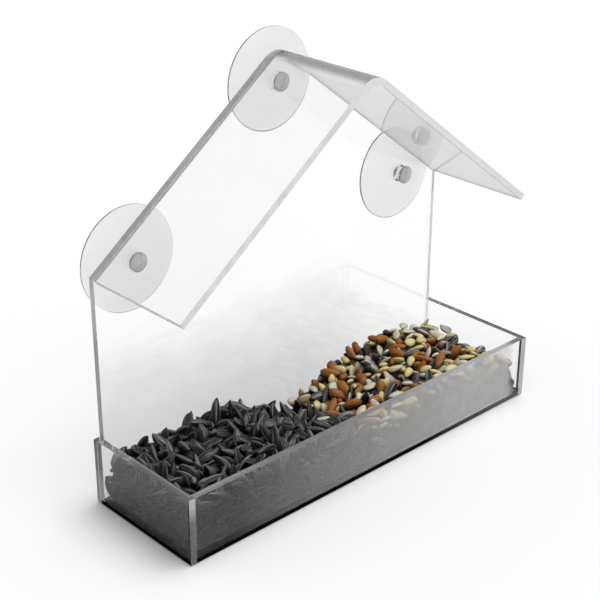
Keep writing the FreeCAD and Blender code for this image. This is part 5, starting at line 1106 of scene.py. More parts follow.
    (5,1,7804,-672,1267,563,-797,-217,35), (4,0,6428,-2284,1379,119,805,538,219), (4,2,1318,2096,1370,883,65,161,437),
    (0,2,-8294,1274,2303,-200,-556,501,632), (0,5,-9227,-1357,2339,-484,679,270,-482), (3,2,8536,727,1082,135,-301,943,47),
    (0,7,-9425,860,2008,348,-334,854,194), (3,1,8750,1357,1154,366,742,517,222), (0,2,4022,1939,1615,470,-2,-213,857),
    (0,7,-6238,1728,1954,492,821,18,-288), (4,4,5403,-2533,1505,346,-438,657,507), (4,5,9064,-1517,907,860,-493,23,132),
    (4,3,9247,-388,1166,104,340,-669,-653), (0,2,-2944,2307,1982,-377,815,-424,-117), (3,3,3441,850,1814,164,642,-735,143),
    (0,7,-8456,-1472,2364,-312,822,272,-390), (0,2,-4347,2139,2369,315,-440,733,412), (0,2,-4628,606,2316,237,624,-570,-479),
    (2,7,3605,-210,1498,102,-991,81,11), (4,2,7614,-2382,1286,527,705,283,381), (4,2,2909,16,1520,82,-143,-218,962),
    (0,3,-8142,1291,1746,304,295,-732,-533), (0,3,-5083,-1475,2053,44,584,-721,370), (0,5,-5591,907,2338,377,825,396,-140),
    (0,4,-4540,1121,2022,426,-141,798,402), (0,2,-2646,-1362,2140,112,548,-828,-46), (4,1,2353,-2495,1650,410,-78,204,886),
    (2,3,3337,-1011,1560,407,-740,335,-418), (3,3,2527,-1201,1528,153,-343,-913,158), (4,5,-15,-1345,1326,77,640,-753,-131),
    (3,5,5648,2054,1322,28,-459,-816,350), (3,4,1046,233,1186,14,711,-652,-262), (0,7,-9349,1422,1921,118,165,958,-200),
    (4,3,1661,-2325,1681,220,830,246,449), (0,2,-3202,-2342,1437,499,688,251,-464), (4,7,7265,1990,1121,369,740,559,53),
    (0,5,-7749,1600,1782,609,730,284,-129), (0,2,-7004,1955,2037,726,682,91,-6), (0,0,-7213,896,1886,362,-426,707,432),
    (3,5,1679,-766,1302,298,129,-91,-941), (4,2,2943,-2314,1600,39,-540,840,-19), (0,6,-261,-716,1502,28,-34,202,-978),
    (0,4,-3858,-441,2245,271,-579,769,17), (0,7,-8982,-2194,2104,-12,899,-135,-417), (0,2,-7020,-835,1981,192,243,-344,886),
    (0,6,-5791,-1896,2361,94,-966,-14,242), (3,6,6042,-2552,1171,39,807,26,589), (3,3,1195,-2120,1002,121,806,576,59),
    (4,2,3356,-1889,1593,455,22,852,-258), (3,0,7834,2071,1208,955,-39,-3,-293), (3,2,9437,808,1098,487,-837,-174,-178),
    (0,2,-2810,-565,2247,240,722,649,2), (1,5,-3112,-1011,2070,254,18,775,-578), (4,0,4376,1551,1699,419,3,188,-889),
    (2,5,2354,-630,1391,254,-200,64,-944), (2,0,2265,-196,1446,168,-98,902,-385), (4,1,8616,-2457,1217,286,338,-224,-868),
    (3,1,2045,1772,1364,158,817,308,-460), (3,1,2254,-1546,1465,363,-124,177,-906), (0,6,-8032,-2381,2155,-193,860,-179,-437),
    (0,1,-3854,-2355,1769,594,568,539,184), (0,1,-4162,908,2316,824,256,315,396), (0,1,-5782,2265,2428,117,-394,912,12),
    (0,5,-6916,7,2349,-497,728,-366,-298), (3,1,2960,-1534,1746,0,-3,777,-630), (4,7,348,-1268,1327,-117,802,-548,-206),
    (4,0,9568,2461,926,379,-561,275,-682), (3,5,5451,-1610,1758,158,-926,92,-331), (3,4,8483,-1341,921,816,-493,230,-194),
    (0,2,-4417,-254,2406,624,322,706,-90), (3,2,2763,-1195,1735,916,198,184,297), (1,0,4218,2578,1389,458,824,123,-309),
    (0,2,-4978,2209,2159,538,169,815,133), (1,3,5871,409,1841,978,28,-193,-75), (4,0,7976,-31,1517,93,634,-76,-764),
    (0,5,-1410,-1330,2067,252,-369,-887,116), (0,5,-6718,-2323,2156,293,663,-462,-511), (0,3,-8964,1318,2208,211,-234,910,269),
    (3,1,3210,225,1552,945,250,-81,-196), (4,2,444,-876,1274,71,250,948,184), (0,1,-401,-1365,1537,22,444,-886,-129),
    (2,0,2124,990,1603,165,-563,809,-41), (0,7,-3656,2387,2066,295,-7,808,-510), (0,5,-7844,2445,1918,418,451,789,9),
    (0,6,-6824,-1214,2395,659,-496,543,-156), (0,2,-1841,-1973,1841,-65,774,208,-595), (2,5,6893,-643,1777,8,157,982,105),
    (5,1,7173,2265,1257,194,-437,-115,871), (4,1,1159,-1169,1402,51,-592,802,-65), (0,2,-6848,-602,2035,648,668,359,-71),
    (0,6,-7126,2264,2035,457,-245,804,290), (5,2,5297,2152,1498,136,-597,-663,431), (0,4,-9562,25,2532,723,38,-689,-37),
    (3,3,768,1244,1104,38,-505,825,249), (0,4,-5309,-2276,2062,591,541,573,-172), (0,7,-6168,-1340,2417,-278,652,-381,-594),
    (0,4,-9408,-1694,2303,245,531,811,8), (4,5,5524,-652,1826,486,-268,-188,-810), (4,5,2648,1775,1288,22,450,860,-238),
    (5,7,2100,154,1319,638,549,466,-275), (0,7,-7702,368,1888,185,-529,784,269), (4,0,934,-795,1347,69,743,665,-13),
    (0,4,-411,-2253,1401,508,-269,303,-760), (0,5,3641,-783,1597,371,883,237,-162), (0,3,-9468,-2256,2354,47,-819,571,33),
    (0,5,-7433,1997,2198,-471,651,-595,-38), (0,6,-9195,1854,1965,388,-222,-44,893), (0,5,-8074,1130,2015,928,204,305,60),
    (4,4,5507,-2106,1649,901,-104,-14,420), (2,0,5094,-464,1796,568,-293,60,-767), (0,4,-7819,-2153,2334,86,-382,624,676),
    (2,6,1744,2263,1222,-256,782,-413,-390), (0,0,-4520,-2333,2229,366,161,758,-516), (0,2,-9024,44,2524,592,529,600,-101),
    (0,6,-118,-2550,1796,206,-237,938,-146), (4,4,5188,-1853,1765,69,297,937,169), (4,4,3328,-498,1629,244,-966,60,59),
    (4,7,7768,-1159,1274,838,44,54,541), (0,7,-1213,-408,1565,359,316,716,-508), (0,7,-6420,1249,2294,-94,708,262,-649),
    (3,3,3715,1903,1865,274,782,472,301), (0,6,-7548,277,2250,142,874,-381,-267), (3,4,1742,-1171,1294,534,843,51,-46),
    (0,2,-591,-1637,1648,472,-459,753,0), (4,2,1978,-2149,1548,239,728,641,38), (0,4,-8877,-1432,2465,206,737,284,-578),
    (0,1,-9224,2508,1733,-316,852,198,-367), (3,2,9150,2488,1163,975,87,-172,107), (4,7,9451,1362,1190,193,789,489,319),
    (4,5,7220,992,1613,2,709,-656,259), (4,2,8886,-779,997,43,-867,297,398), (2,2,2281,152,1666,676,-685,-63,264),
    (3,6,8168,-1854,1155,505,-104,-476,-712), (0,1,-6891,-398,2431,183,121,961,166), (0,4,-7140,-2319,2207,514,196,746,374),
    (4,6,6540,39,1704,117,556,823,-12), (0,7,-3596,131,2314,34,-352,757,550), (0,6,-9234,1753,1992,258,659,534,-463),
    (2,4,6807,2402,1790,40,-702,-582,-408), (0,7,-292,-2020,1564,26,870,431,-237), (2,2,5869,-1343,1879,820,-533,110,-176),
    (4,2,1906,1417,1588,13,304,-944,-126), (1,4,3851,352,1507,965,31,-143,216), (4,1,1490,145,1231,147,-952,137,-230),
    (0,0,-9522,1439,2244,-133,635,535,-542), (4,7,8903,-1852,1143,806,357,-38,470), (0,6,-5948,-2585,2144,849,508,133,-51),
    (4,4,4464,-2595,1375,407,-78,815,405), (3,2,5818,-2327,1566,634,110,185,-743), (2,5,5960,-656,1842,273,-74,-929,238),
    (0,7,-3865,2120,2291,-62,732,638,-230), (0,3,-8040,2367,2241,634,139,732,210), (1,0,3202,1561,1662,666,-326,151,-654),
    (4,0,4746,-1860,1543,27,708,586,-394), (4,2,1456,-225,1431,44,-148,985,-82), (4,2,3737,-1421,1602,829,121,-54,544),
    (0,3,-7040,2509,2109,500,790,331,-127), (3,3,5760,2182,1563,367,189,-112,904), (2,3,1957,-1137,1874,94,-985,-61,127),
    (4,2,2887,-1955,1852,49,-291,944,-147), (0,6,486,-1965,1130,49,237,880,409), (4,2,2907,2363,1510,943,80,-200,-255),
    (0,3,-7397,1402,1703,666,635,379,100), (4,2,6004,1566,1864,126,983,-106,82), (2,7,3788,-2543,1824,257,887,-218,-315),
    (0,2,-5062,-2454,2245,506,-217,826,-121), (0,5,-6579,1767,2496,616,-328,-186,-691), (2,0,8732,-1180,1058,868,-269,51,-415),
    (3,6,8275,2211,1264,622,744,-228,87), (4,2,2968,-723,1725,214,230,942,116), (0,0,-5962,-2393,2429,619,-228,683,315),
    (3,0,831,-15,1266,872,332,-359,17), (2,2,6071,2172,1652,543,-459,674,-202), (3,1,1211,114,1408,114,147,343,921),
    (2,1,5920,-1012,2058,221,69,-693,682), (0,4,1055,-2369,1216,298,-931,205,-49), (0,0,2178,-1702,1703,462,23,887,0),
    (4,7,2391,1773,1515,436,-209,748,-455), (4,3,5934,-157,1719,334,804,-261,-416), (0,1,-825,-2285,1831,358,-244,901,-22),
    (0,7,4411,1199,1904,-39,250,829,-499), (2,5,4727,1064,1783,463,-374,-385,706), (3,4,1369,-631,1402,231,-291,702,-608),
    (4,7,4642,-2367,2060,285,-709,-639,81), (0,3,-9331,721,2470,418,-492,671,-366), (3,7,4339,2358,1625,911,339,93,215),
    (0,5,-8481,2351,2184,-47,839,519,-159), (4,0,8956,-2563,1286,509,-662,-34,-549), (0,4,-119,-1517,1506,240,914,144,-294),
    (4,6,429,-740,1541,185,379,-902,-91), (0,7,-1615,-234,1873,491,-782,-321,-210), (2,2,3632,-1573,1910,34,-163,143,-976),
    (4,0,2533,-2324,1735,58,-568,-738,360), (4,6,2570,-861,1621,837,-408,351,99), (0,3,-7737,1174,2143,246,-659,-711,27),
    (3,0,4973,-1331,1768,207,-773,460,386), (3,0,2550,1013,1721,429,856,261,-122), (2,7,3020,648,1738,234,-601,762,59),
    (0,6,-9232,2359,2098,-30,-278,827,488), (4,2,7599,-1831,1322,976,198,82,46), (0,4,-5575,1697,2429,573,-782,236,72),
    (0,1,-8080,1881,2008,-51,895,-77,-435), (0,4,-6932,-2035,2406,622,493,535,-291), (4,7,5278,708,1620,122,790,-561,213),
    (0,6,-7708,880,2321,208,-624,676,333), (0,1,-7343,583,2564,-381,670,467,-434), (4,0,6758,-1613,1628,268,695,-649,-153),
    (1,3,1705,-1541,1411,45,-284,-958,14), (1,4,3601,256,1554,-280,792,-355,-411), (5,0,4564,-754,1668,602,-359,-456,-548),
    (1,1,9291,2277,852,36,-629,-749,-204), (4,2,3278,1737,1887,124,439,-885,96), (3,4,6355,-2595,1954,61,93,914,-391),
    (3,5,6119,-2549,1641,218,284,-856,373), (3,7,2808,-318,1490,489,-850,-36,-193), (2,7,1235,-505,1703,49,489,808,-326),
    (4,6,4578,-1400,2032,114,859,-400,-297), (2,1,800,335,1428,242,197,-188,-931), (0,5,4168,2292,1903,457,63,-147,875),
    (4,2,9480,1916,1066,17,-650,-512,-561), (4,4,8000,450,1476,440,278,-766,-378), (3,0,1434,-2151,1627,664,-357,-656,-40),
    (3,7,1611,1781,1429,-158,720,-612,-287), (3,1,3427,220,1997,109,122,971,-176), (4,7,3534,-304,1873,938,59,261,-222),
    (4,3,7121,-1343,1613,165,58,-980,96), (1,0,5036,1435,1748,349,-24,272,897), (2,0,1614,-1001,1497,375,26,731,-569),
    (3,5,4028,895,1476,564,-643,396,336), (4,4,5210,288,1746,851,-486,-200,-9), (5,3,3297,-37,1802,793,138,-537,253),
    (3,2,286,-2589,1248,482,866,107,-74), (4,6,5054,2003,1702,863,3,-21,-504), (2,7,5290,-574,2156,369,-234,-374,-818),
    (0,2,6846,-64,1877,195,25,-980,-5), (3,1,2191,1769,1676,338,-494,744,297), (4,6,7023,-2231,1354,24,995,-86,31),
    (1,2,2341,2500,1539,983,95,-85,133), (4,5,9130,1222,1170,-280,786,162,-526), (0,7,5797,-538,2225,42,-563,-770,297),
    (4,7,3732,-2044,1811,490,198,-151,835), (3,2,2468,-2581,2019,473,-751,-123,-443), (4,0,688,1999,1153,473,113,772,409),
    (4,2,7664,-998,1512,582,-49,43,-811), (3,6,7144,2582,1359,493,859,66,-121), (4,3,9083,-2090,1438,372,739,500,257),
    (0,4,1999,433,1441,642,52,746,-169), (3,4,2989,-1318,1904,882,-433,79,166), (2,2,6719,975,1954,681,-517,-351,381),
    (4,4,2021,-2177,1770,144,965,78,-203), (3,0,7296,-1013,1696,3,-20,999,45), (3,4,31,-2156,1712,356,-791,257,-426),
    (2,5,5939,-85,2242,733,-529,210,374), (4,4,6698,1992,1722,808,499,-111,-292), (3,0,3867,615,1765,189,-232,-131,945),
    (4,2,2892,15,1817,804,209,-41,555), (3,0,1679,-479,1584,945,222,29,-236), (3,2,2910,-2489,1847,858,49,-69,-507),
    (3,1,7595,118,1670,980,-55,13,-189), (5,6,5277,-1263,1915,502,-133,-818,-248), (4,4,8638,-1928,1370,187,-921,-319,-123),
    (2,4,6534,1352,1797,900,95,232,356), (2,3,4614,1902,1973,302,486,-775,-268), (4,0,9126,116,1281,409,469,767,-158),
    (3,5,4800,-98,1817,508,-216,105,827), (4,1,2893,1937,1573,362,855,357,-103), (2,6,3138,-1035,2064,152,-81,789,590),
    (4,3,5661,405,2068,364,787,453,206), (4,6,4616,2043,1658,692,29,89,-716), (4,5,3764,1448,1619,110,-19,12,994),
    (5,5,3192,1027,1977,36,449,-877,-166), (3,5,631,-1872,1407,86,968,174,-158), (4,5,4078,-2154,1967,107,-54,-116,-986),
    (2,2,8052,1305,1644,41,-415,887,-197), (2,0,5077,-2380,1963,251,613,741,-113), (4,6,8592,-566,1154,135,726,670,-82),
    (0,5,3940,-934,1898,95,231,-968,-19), (0,1,1101,-1321,1666,-179,840,443,-256), (1,0,7823,2544,1608,106,147,322,-929),
    (0,6,5411,-97,1833,139,249,811,-511), (4,3,8185,-1799,1534,403,-424,-346,733), (4,6,8714,-1292,1447,519,596,-416,-450),
    (2,2,8962,760,1351,245,935,-256,-16), (4,5,7517,-217,2027,144,925,350,28), (4,0,7231,-1981,1520,893,-72,2,-445),
    (4,7,8294,-2559,1314,90,-910,-288,284), (4,2,3804,1372,1848,2,994,107,18), (3,3,1889,-1341,1595,477,865,73,-140),
    (4,6,7940,-2434,1449,769,302,41,562), (4,5,3214,-2179,1998,393,659,475,-430), (3,1,6413,-329,1903,403,689,-579,167),
    (1,4,836,-360,1345,-58,775,-316,-545), (2,5,7069,854,2117,503,437,102,-739), (2,1,4294,-1722,2036,420,-156,-64,892),
    (2,5,4389,-1101,1908,280,-95,207,-932), (2,3,2808,2402,1827,4,-824,-529,-201), (4,7,8742,-40,1229,-321,909,122,-235),
    (4,0,9517,-1180,1085,150,691,511,488), (4,0,6043,-2026,1772,82,845,-375,-372), (4,4,7485,-1516,1558,-320,913,91,-235),
    (4,3,6230,1032,2068,109,-86,24,990), (4,4,7511,1524,1612,137,216,903,-345), (3,0,2415,-1142,1894,191,-446,867,113),
    (3,4,5779,2165,1870,411,-472,627,-464), (4,4,8626,-2284,1444,191,923,38,331), (1,3,1593,130,1447,212,-379,804,405),
    (4,4,3915,-478,1874,346,-84,51,-933), (4,3,8596,1862,1049,170,-268,-943,-104), (4,1,4528,226,1688,908,-367,-194,55),
    (4,3,1145,-2392,1519,167,603,776,-75), (5,0,4711,-722,2053,27,862,-419,-284), (4,5,8597,328,1414,14,-740,607,-290),
    (3,4,2111,-2140,2037,342,940,-11,2), (4,7,4761,2547,1658,438,615,646,116), (2,3,6694,-1028,1804,312,-945,-69,-68),
    (4,4,2152,-640,1609,235,-283,713,598), (5,4,3283,2555,1801,549,-127,-195,802), (3,7,4962,-1875,1998,171,-177,-961,130),
    (3,0,7234,2468,1625,224,-662,-695,-169), (3,7,6589,363,1876,950,116,145,250), (1,0,3068,-192,1927,48,739,17,-672),
    (2,7,7613,535,1756,-325,778,257,-472), (2,1,5248,-244,2265,744,585,-211,245), (5,2,5465,1480,1845,151,103,80,980),
    (4,4,5493,698,1887,820,153,446,326), (1,3,5701,186,2360,-80,273,709,-645), (4,1,5028,-1536,1984,415,883,25,-217),
    (2,1,2416,2138,1806,134,535,825,121), (0,4,2556,-429,1809,63,629,774,35), (4,2,2772,-1655,2078,64,2,108,992),
    (4,1,4770,-50,2112,402,682,-554,259), (4,1,2741,-2394,2087,928,272,-220,-128), (3,0,6987,-2440,1558,115,938,-326,6),
    (2,2,1420,-1560,1757,308,680,601,285), (3,4,8968,-979,1242,-52,853,392,-341), (4,3,8548,2528,933,16,-975,-81,206),
    (4,6,5031,2519,1788,920,107,296,-235), (4,1,4467,-97,1822,11,409,680,-608), (3,3,6802,-736,2079,263,127,159,943),
    (1,6,7472,891,2079,292,415,810,-294), (1,1,6355,619,2133,138,-102,51,984), (4,6,6458,1827,1653,423,469,-689,357),
    (4,3,1979,-273,1696,154,926,-308,152), (4,2,5070,976,1934,312,-217,-903,201), (4,1,4853,-2507,2235,578,737,228,-266),
    (3,6,5200,478,2039,515,-615,48,-595), (4,6,3849,-1427,2139,509,5,149,848), (4,6,4121,1367,2105,196,-550,809,66),
    (3,2,3753,-1925,2140,731,6,174,660), (4,0,7467,-2600,1547,842,482,-150,191), (3,2,7141,1822,1942,280,-819,-248,435),
    (2,5,6681,1950,2046,972,178,-143,56), (2,5,615,-1074,1660,345,33,-589,-731), (4,0,3997,195,1798,84,897,-325,-286),
    (2,2,6366,-815,1930,355,591,715,-116), (4,1,8062,-997,1368,611,234,247,715), (3,4,3492,2286,2038,633,98,-43,-767),
    (4,0,9021,-2450,1675,-24,659,-437,-611), (2,2,7306,1985,1510,881,-409,240,9), (4,2,4770,1476,2056,419,-250,255,-835),
    (3,7,4716,-356,2061,343,-66,936,48), (3,5,9532,-1477,1298,8,-778,-259,-572), (4,4,8769,-351,1384,178,-928,179,273),
    (3,6,1666,-1927,1560,55,769,326,548), (4,6,3031,1346,1929,175,-532,613,557), (3,7,1073,-1726,1904,906,298,-266,-138),
    (4,3,5757,728,2217,-390,822,-308,-278), (1,5,98,-1139,1815,30,-844,443,-299), (3,1,7157,-1246,1873,326,-108,266,-901),
    (4,2,6821,1608,1963,509,833,-32,-215), (3,2,732,-2282,1422,308,52,884,348), (4,3,5318,-1838,2046,177,59,982,22),
    (4,4,3978,940,1930,-317,832,-444,-103), (0,2,2789,-1352,2149,43,-216,891,397), (4,7,4008,-1109,2064,-341,759,-439,-339),
    (0,7,8353,-1403,1458,746,198,-217,-598), (3,5,4493,488,1886,287,-951,-107,26), (1,0,7414,-479,2362,287,196,-439,-829),
    (3,4,3306,2200,1765,52,992,-101,-53), (4,4,9017,1067,1511,228,-103,878,408), (3,5,6439,-1937,1690,67,-666,-730,-137),
    (2,2,5823,-2360,1970,169,471,854,145), (3,0,7990,-2594,1634,284,-286,-833,-380), (3,3,5530,2339,1859,225,818,447,284),
    (3,1,2302,533,1743,500,676,541,26), (2,2,5302,768,2275,467,535,609,353), (4,1,7839,2178,1427,49,997,-49,44),
    (3,0,7481,1739,1696,-32,-640,415,646), (3,1,6682,-1848,1854,242,691,-330,-596), (2,3,2797,-692,1961,209,-521,694,451),
    (4,4,8821,2229,829,457,748,-241,415), (5,7,7126,293,1684,63,815,506,-275), (4,6,3955,-2498,2171,136,-134,40,-981),
    (3,3,4333,-513,1976,137,181,-973,35), (2,4,6234,2569,2074,119,-93,-697,-701), (4,1,7823,1845,1563,456,109,-29,883),
    (4,1,4395,188,1895,-173,-468,-606,619), (3,3,4804,123,2344,-194,569,613,-513), (4,6,8210,-900,1516,269,-205,739,583),
    (3,6,8745,2597,1146,238,827,-378,-340), (4,0,1632,-543,1822,779,374,-77,497), (4,2,4692,-1531,2273,167,711,-681,53),
    (3,1,7726,36,2245,362,881,-142,-269), (5,4,7974,-1304,1599,54,781,-598,-169), (4,0,7903,-1806,1557,698,196,-100,-681),
    (4,2,6472,953,2275,-88,-383,681,618), (4,6,7311,62,1952,483,-683,-480,265), (3,5,2813,1905,1918,-438,681,-545,218),
    (2,4,4007,-97,2045,-403,830,-375,89), (4,4,6196,2190,2076,993,-15,-109,38), (4,1,8037,1635,1783,454,787,417,-23),
    (2,5,6032,-1265,2463,98,959,147,221), (4,6,2530,-265,2036,48,-49,993,-93), (4,0,1974,-2623,1721,-359,894,-268,11),
    (4,1,4071,1728,1925,248,876,393,-131), (3,0,5153,1633,1934,671,-157,-76,720), (4,4,3563,1522,1843,392,-444,741,317),
    (0,1,4050,-1595,2150,497,125,808,-291), (4,1,5890,-1524,2150,939,198,-107,-259), (2,1,5557,-734,2477,790,-275,187,-515),
    (4,0,6742,-2223,1728,47,-954,-296,27), (3,6,6571,1316,2115,361,828,429,-15), (4,3,1645,-1492,1849,481,-591,628,160),
    (3,4,4115,-2012,2178,-130,862,-412,-264), (3,3,5155,2277,1942,219,-803,553,-45), (4,5,9451,2405,1434,10,-496,-865,78),
    (5,4,6603,-107,2273,580,273,54,-766), (4,3,5080,1544,2195,813,332,18,477), (2,3,7037,364,2117,70,-338,207,-915),
    (3,3,5847,1491,2126,527,263,-24,-808), (3,6,8437,-2475,1587,268,-180,920,224), (3,7,8955,1932,1630,924,-207,28,321),
    (3,7,5496,-1557,2095,496,749,-38,-437), (4,5,6320,-2049,1955,89,-649,749,102), (4,2,4607,807,2088,168,503,701,-477),
    (4,6,4474,2491,1989,848,259,-390,-249), (0,1,4887,2131,1997,8,932,-203,-301), (0,2,4453,-2127,2435,63,-435,866,237),
    (4,3,3673,-380,2033,378,-625,678,84), (4,6,5441,-2392,1864,591,-26,752,289), (2,3,3474,-2270,2298,525,-409,497,-557),
    (4,7,6255,-772,2425,467,852,225,-76), (0,5,1633,-807,1875,154,735,342,-565), (3,3,4017,317,2086,180,970,-156,52),
    (4,1,9059,-566,1738,731,-79,90,-672), (4,2,9189,-207,1466,953,-226,71,187), (4,0,939,-1949,1608,931,361,-39,-21),
    (5,6,7559,-1845,1647,571,170,435,675), (0,4,4226,-892,2168,556,-389,605,416), (4,5,5850,1875,1959,166,-364,640,656),
    (4,0,6530,-1857,2261,630,-177,721,228), (4,1,7600,2293,1738,11,-51,356,-933), (2,1,7810,-1420,1899,334,-861,-376,-79),
    (0,5,6895,-260,2210,450,246,-733,-447), (4,1,9251,-1042,1275,549,380,-196,-718), (3,4,5300,2193,2234,171,-112,-943,263),
    (2,1,3871,2340,2259,600,554,315,484), (0,4,5372,-1300,2258,436,-203,793,374), (4,4,3871,1245,2154,108,906,242,-331),
    (4,3,4523,-1159,2272,240,911,34,-332), (3,2,4400,-412,2274,605,-12,-98,790), (2,6,6064,1302,2403,123,-405,621,-659),
    (4,1,5059,-2060,2268,840,511,1,-186), (2,6,7459,487,2280,922,301,20,-243), (1,0,5408,1351,1951,157,684,543,-462),
    (2,1,8237,-583,1424,470,826,-215,-224), (3,0,438,-2351,1608,510,-418,-90,-747), (4,2,6974,-2559,1797,428,433,651,-453),
    (0,1,9444,-624,1459,643,565,516,25), (4,4,9510,202,1454,786,-369,284,-406), (4,5,7242,-1591,1735,141,-237,726,630),
    (3,5,7785,-2140,1611,180,876,296,-334), (5,4,3548,863,2130,66,-782,569,-245), (4,7,6613,250,2259,618,97,-738,254),
    (3,2,7210,1316,1933,325,-520,234,-754), (4,1,8675,2338,1157,589,-790,-136,-100), (3,7,9294,-1487,1403,169,282,819,-470),
    (2,4,7999,2020,1800,199,208,-950,119), (3,4,3185,-638,2079,318,-340,795,388), (1,0,6229,1858,2131,239,409,855,-210),
    (3,4,9003,1719,1384,538,-606,519,-273), (3,1,8566,845,1547,72,378,911,-148), (4,6,6762,-2333,2064,62,110,916,-381),
    (2,0,7565,1380,2067,162,864,466,-101), (4,4,3734,553,1994,-374,730,223,-526), (4,3,7471,-2313,1782,-217,431,674,-559),
    (4,5,7301,3,2141,561,638,492,-192), (3,7,6716,-1238,2074,564,-723,382,-112), (0,7,4408,1813,2281,-279,803,-100,-516),
    (3,3,8408,-2140,1510,217,855,151,447), (3,6,6854,1693,2318,831,-542,124,15), (3,4,6339,148,2179,726,28,145,672),
    (5,2,7178,-279,2441,578,-755,-309,-40), (3,6,8949,2088,1137,277,-156,-168,-933), (4,2,3921,1786,2192,83,947,233,-204),
    (4,5,5673,-2108,2171,120,697,661,-250), (4,7,5110,1210,2259,433,825,351,-91), (3,3,7399,2518,1979,579,612,533,83),
    (1,3,362,-1721,1623,58,-302,951,-34), (3,7,5172,-1742,2363,282,191,267,902), (4,0,6587,2068,1973,237,720,-228,-611),
    (4,1,1160,-2386,1821,300,943,-138,39), (2,7,5693,2400,2278,416,224,223,852), (3,6,7545,2133,1888,215,-275,689,636),
    (3,0,5016,-1334,2386,326,189,879,291), (2,4,595,-2081,1741,608,735,6,-301), (4,1,7764,-1875,1745,333,803,61,-491),
    (3,1,4295,579,2145,5,-85,-125,-988), (3,4,4134,-1071,2453,954,183,-146,189), (5,6,4410,1187,2283,19,-891,-446,87),
    (4,1,6722,623,2440,266,-947,97,-149), (3,1,8582,1044,1586,-167,751,-554,-317), (4,2,6781,2548,2256,362,932,-27,-19),
    (4,0,6217,-2413,2072,211,672,-360,-612), (1,1,6899,-813,2367,248,713,656,-5), (3,5,8242,-2552,1893,195,-977,-84,-21),
    (4,1,8465,-1252,1703,963,111,-65,-237), (4,0,7468,1652,2040,589,-118,797,65), (3,7,4986,-437,2454,928,216,-164,255),
    (4,1,7057,-2035,1944,227,-662,-693,171), (1,6,3811,-2184,2408,316,724,-587,-179), (4,7,836,-1386,1891,247,-97,964,34),
    (2,7,8324,-194,1489,51,601,238,761), (4,2,4078,-370,2425,165,420,892,-30), (3,4,5995,541,2244,509,362,761,175),
    (3,3,5294,2613,1998,406,455,-579,541), (3,0,7589,-1155,1905,148,-391,898,-137), (4,0,6127,-1890,2259,60,74,981,171),
    (4,5,8544,-431,1605,-33,775,354,-523), (2,3,8254,634,1600,173,-515,707,453), (3,0,833,-2596,1733,464,877,124,-27),
    (5,3,9050,-1643,1599,581,785,-44,-210), (3,6,8735,-1650,1803,490,832,-28,-260), (3,3,7056,1918,2357,368,216,844,324),
    (4,6,9328,2304,1655,25,793,-551,-258), (3,5,6289,304,2401,159,522,810,-213), (4,6,8769,2426,1558,849,-298,385,202),
    (2,3,4294,2417,2339,381,-281,529,-704), (3,4,6715,-1633,2079,360,-24,-7,933), (3,0,8290,-1584,1758,539,827,101,-123),
    (4,5,8481,1811,1757,82,-562,-415,-711), (3,0,9066,2317,1337,-380,745,156,-527), (4,5,9256,2585,1791,180,-241,565,768),
    (4,4,8725,-1971,1630,591,-706,379,93), (4,1,8539,1441,1568,162,691,-458,-535), (4,7,6480,-2505,2316,533,-534,655,-43),
    (3,6,5746,-2605,2372,4,949,237,-206), (4,4,7266,-1800,1992,-411,725,-552,22), (4,7,7519,-2330,1959,182,479,742,-432),
    (4,2,8624,404,1620,360,-364,852,-112), (3,3,9094,-1997,1849,395,-473,40,-787), (4,5,8606,2109,1522,743,-388,369,-402),
    (3,3,5709,1458,2462,647,347,430,524), (3,4,8076,-1621,2139,880,-189,429,-74), (2,1,8792,-704,1524,298,-851,80,426),
    (2,7,5572,1927,2495,570,800,166,-89), (5,1,6334,2379,2406,793,420,436,-63), (4,5,8291,2351,1721,186,-626,725,218),
    (0,2,-9181,74,2279,417,-799,412,131), (0,4,-3538,-2105,2292,-391,727,-98,-556), (0,6,-3826,1713,2356,43,733,-45,-677),
    (0,0,-2109,-726,2016,155,-657,697,242), (0,3,-5384,-1210,2232,631,579,516,-25), (0,6,-8160,656,2118,447,38,870,207),
    (0,5,-8632,-220,2242,605,279,729,-154), (0,0,-7024,1458,2231,699,-226,547,402), (0,4,-4378,-563,2083,-278,900,-131,-308),
    (0,6,-3559,-853,2115,377,426,615,-546), (0,6,-4717,-1527,2287,-495,861,10,-114), (0,3,-5983,1400,1959,474,-438,731,223),
    (0,1,-7657,-1343,2358,468,686,313,-462), (0,6,-7881,-391,2244,184,906,325,-200), (0,7,-8495,1556,2103,405,-259,752,-451),
    (0,1,-7123,324,2143,76,779,-579,-230), (0,4,-2866,-2130,2380,395,-315,696,-510), (4,5,6223,-336,2356,392,31,858,-329),
    (2,5,4875,425,2160,-13,973,182,-141), (2,2,7829,-535,1947,783,169,589,-104), (2,2,7352,-950,2246,447,-182,529,698),
    (4,0,8172,-2096,2027,151,-406,655,620), (4,2,6298,-1410,2072,-112,818,289,-485), (1,5,8101,177,2197,405,-155,389,812),
    (3,0,7921,1031,2082,315,683,-418,-510), (2,5,5059,-1004,2192,570,-91,786,221), (2,5,5603,1021,2373,394,371,775,327),
    (1,6,8815,-1356,2040,949,302,46,81), (5,2,7642,-2182,2190,972,48,123,194), (4,5,7607,-1539,2175,446,-36,169,878),
    (3,6,8272,-2301,2190,904,238,-59,350), (5,2,8700,-2535,1920,913,-241,-46,327), (3,5,8605,-1879,2115,779,11,-202,-593),
    (4,1,7678,-2531,2340,-59,-150,284,945), (3,4,8096,-1330,2280,803,-141,-148,-561), (3,0,8709,-2460,2205,904,127,68,402),
    (3,2,9415,-2266,1530,667,98,-2,-739), (3,5,9327,-2458,1755,-320,95,-209,919), (3,7,8807,-983,1845,-176,72,-215,958),
    (4,3,6483,1904,2465,-372,-125,180,902), (3,0,8707,1085,1867,965,244,-67,-65), (4,7,7267,2158,2565,965,40,61,253),
    (3,4,9302,873,1807,369,-188,-86,906), (4,7,6531,1119,2605,909,-375,-14,182), (1,5,8875,367,1947,-149,-26,-165,975),
